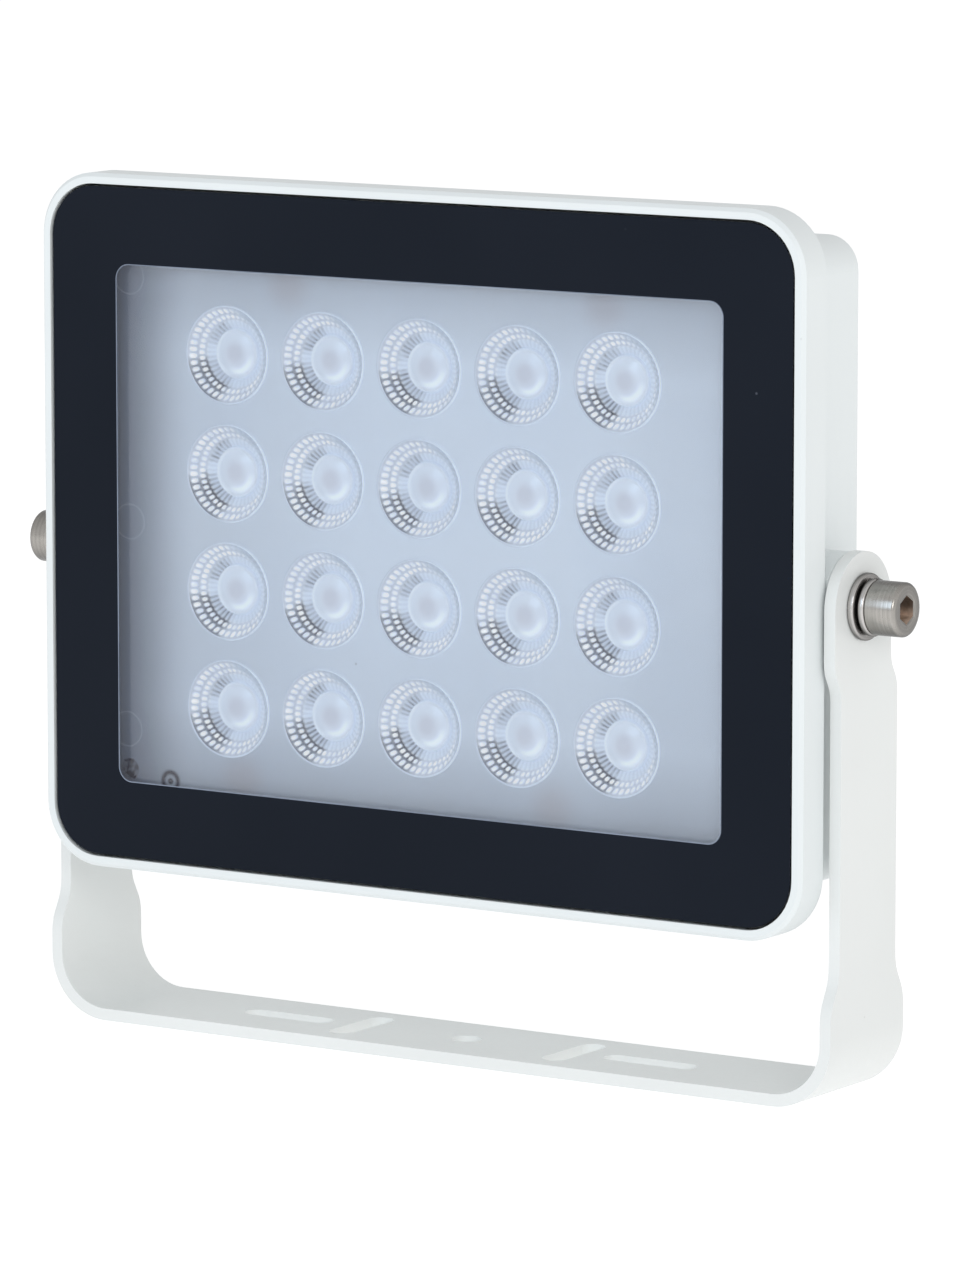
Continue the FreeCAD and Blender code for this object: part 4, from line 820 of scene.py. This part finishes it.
def clamp_pieces():
    """Cap screws, spring washers and flat washers outside the ears."""
    end = CLAMP_HIGH.x
    seat = end - CLAMP_HEAD
    radius = node_radius("clamp_screws")
    half = SOCKET_FLATS / 2
    screw = [(end - CLAMP_LENGTH, CLAMP_SHANK, 0), (seat, CLAMP_SHANK, 0), (seat, radius - CLAMP_BEVEL, 0),
             (seat + CLAMP_BEVEL, radius, 0), *corner_arc(end, radius, CLAMP_ROUND, 1),
             (end, half + SOCKET_LEAD, 0), (end - SOCKET_LEAD_DEPTH, half, 1), (end - SOCKET_DEPTH, half, 1)]
    screw_steel = stainless("cap_screw_steel", (0.46, 0.44, 0.41), (0.13, 0.125, 0.12))
    clamp_piece("cap_screws", "clamp_screws", screw, screw_steel)
    ring_steel = stainless("washer_steel", (0.60, 0.58, 0.565), (0.07, 0.067, 0.064))
    spring = washer_profile(seat - SPRING_WASHER_THICK + SPRING_GAP, seat, node_radius("spring_washers"),
                            SPRING_WASHER_ROUND)
    clamp_piece("split_washers", "spring_washers", spring, ring_steel, SPRING_WASHER_CUT)
    flat_end = seat - SPRING_WASHER_THICK
    flat = washer_profile(flat_end - FLAT_WASHER_THICK, flat_end, node_radius("flat_washers"),
                          FLAT_WASHER_ROUND)
    clamp_piece("plain_washers", "flat_washers", flat, ring_steel)


def coat_nodes(nodes):
    """Gives every node of the frame its finish."""
    head_white = white_coat("white_coat_head", (0.775, 0.815, 0.82, 1.0))
    bracket_white = white_coat("white_coat_bracket", (0.79, 0.81, 0.80, 1.0))
    steel = stainless("screw_steel", (0.62, 0.60, 0.58), (0.30, 0.29, 0.28))
    rubber = grained("seal_rubber", (0.018, 0.018, 0.018, 1), (0.035, 0.035, 0.034, 1), 900.0, 0.75)
    nylon = grained("black_nylon", (0.014, 0.014, 0.015, 1), (0.026, 0.026, 0.027, 1), 1100.0, 0.45)
    finishes = {
        head_white: ["front_frame", "housing", "rear_cover"],
        bracket_white: ["mounting_bracket"],
        clear_glass(): ["front_glass"],
        border_print(): ["glass_border"],
        steel: ["lens_screws", "board_screws", "frame_screws", "driver_board_screws", "cover_screws",
                "clamp_screws", "flat_washers", "spring_washers"],
        rubber: ["glass_gasket", "body_gasket", "cover_gasket", "wire_grommet", "gland_seal"],
        nylon: ["gland_body", "gland_nut", "gland_locknut", "vent_plug"],
        grained("heat_pad", (0.23, 0.24, 0.26, 1), (0.32, 0.33, 0.35, 1), 600.0, 0.8):
            ["thermal_pad"],
        board_print("led_board_print", (0.70, 0.72, 0.72, 1), (0.55, 0.52, 0.44, 1), 60.0):
            ["led_board"],
        grained("emitter_cap", (0.06, 0.05, 0.05, 1), (0.16, 0.12, 0.09, 1), 1400.0, 0.2):
            ["led_chips"],
        board_print("driver_board_print", (0.02, 0.11, 0.04, 1), (0.05, 0.20, 0.07, 1), 90.0):
            ["driver_board"],
        grained("chip_black", (0.012, 0.012, 0.013, 1), (0.028, 0.028, 0.03, 1), 1500.0, 0.5):
            ["driver_chips"],
        grained("ferrite", (0.05, 0.05, 0.055, 1), (0.09, 0.088, 0.085, 1), 700.0, 0.55, 0.3):
            ["driver_transformer", "driver_choke"],
        grained("capacitor_can", (0.52, 0.53, 0.55, 1), (0.66, 0.67, 0.69, 1), 900.0, 0.3, 1.0):
            ["driver_capacitors"],
        grained("terminal_green", (0.03, 0.20, 0.06, 1), (0.05, 0.27, 0.09, 1), 1200.0, 0.4):
            ["terminal_block"],
        frosted_plate(): ["lens_plate"],
    }
    for material, names in finishes.items():
        for name in names:
            for slot in nodes[name].material_slots:
                slot.material = material


# Floor, light and camera

def floor():
    mesh = bpy.data.meshes.new("studio_floor")
    corners = [(x, y, -FLOOR_GAP) for x, y in block_loop(-FLOOR_HALF, FLOOR_HALF, -FLOOR_HALF, FLOOR_HALF)]
    mesh.from_pydata(corners, [], [(0, 1, 2, 3)])
    paint = Finish("floor_paint", Specular_IOR_Level=0.0, Roughness=1.0)
    paint.coloured(paint.mixed(paint.noise(2.0), (0.40, 0.40, 0.40, 1), (0.42, 0.42, 0.42, 1)), FLOOR_GLOW)
    finished("studio_floor", mesh, paint.material)


def sky():
    """Even studio light, a little darker overhead."""
    world = bpy.data.worlds.new("studio")
    bpy.context.scene.world = world
    world.use_nodes = True
    tree = world.node_tree
    back = tree.nodes["Background"]
    direction = add_node(tree, "ShaderNodeSeparateXYZ", {0: wire(tree, "ShaderNodeTexCoord", "Generated")})
    strength = add_node(tree, "ShaderNodeMapRange", {0: Wire(tree, direction.outputs[2]), 1: -0.1, 2: 0.9,
                                                     3: SKY_LOW, 4: SKY_HIGH})
    tree.links.new(strength.outputs[0], back.inputs["Strength"])
    feed(tree, back.inputs["Color"], (1.0, 1.0, 1.0, 1.0))


def soft_light(name, place, size, power, colour):
    light = bpy.data.lights.new(name, "AREA")
    light.color = colour
    light.size = size
    light.energy = power
    lamp = bpy.data.objects.new(name, light)
    lamp.location = place
    lamp.rotation_mode = "QUATERNION"
    lamp.rotation_quaternion = (LIGHT_AIM - Vector(place)).to_track_quat("-Z", "Y")
    bpy.context.scene.collection.objects.link(lamp)


def camera():
    """The photograph's own view of the lamp head."""
    level = math.cos(VIEW_PITCH)
    back = Vector((math.sin(VIEW_YAW) * level, -math.cos(VIEW_YAW) * level, math.sin(VIEW_PITCH)))
    right = Vector((math.cos(VIEW_YAW), math.sin(VIEW_YAW), 0.0))
    up = back.cross(right)
    face = Vector((0.0, BORDER_FRONT, HEAD_MIDDLE))
    lens = bpy.data.cameras.new("photo_view")
    lens.sensor_width = VIEW_SENSOR
    lens.lens = VIEW_FOCUS_PIXELS * VIEW_SENSOR / VIEW_HEIGHT_PIXELS
    view = bpy.data.objects.new("photo_view", lens)
    view.location = face + back * VIEW_DISTANCE + right * VIEW_RIGHT - up * VIEW_DOWN
    view.rotation_mode = "QUATERNION"
    view.rotation_quaternion = (-back).to_track_quat("-Z", "Y")
    bpy.context.scene.collection.objects.link(view)
    bpy.context.scene.camera = view


# The whole

camera()
floor()
sky()
soft_light("key_light", (1.7, -1.5, 0.9), size=0.8, power=8.7, colour=(1.0, 1.0, 1.0))
soft_light("front_light", (-0.3, -1.9, 0.9), size=0.9, power=5.0, colour=(0.64, 0.81, 1.0))
bpy.context.scene.view_settings.view_transform = "Standard"

coat_nodes(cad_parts)
clamp_pieces()

sheet = lens_sheet()
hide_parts("lens_plate")
for piece in [sheet, *lens_parts()]:
    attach(piece, "lamp_head")
edge = window_edge()
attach(edge, "lamp_head")
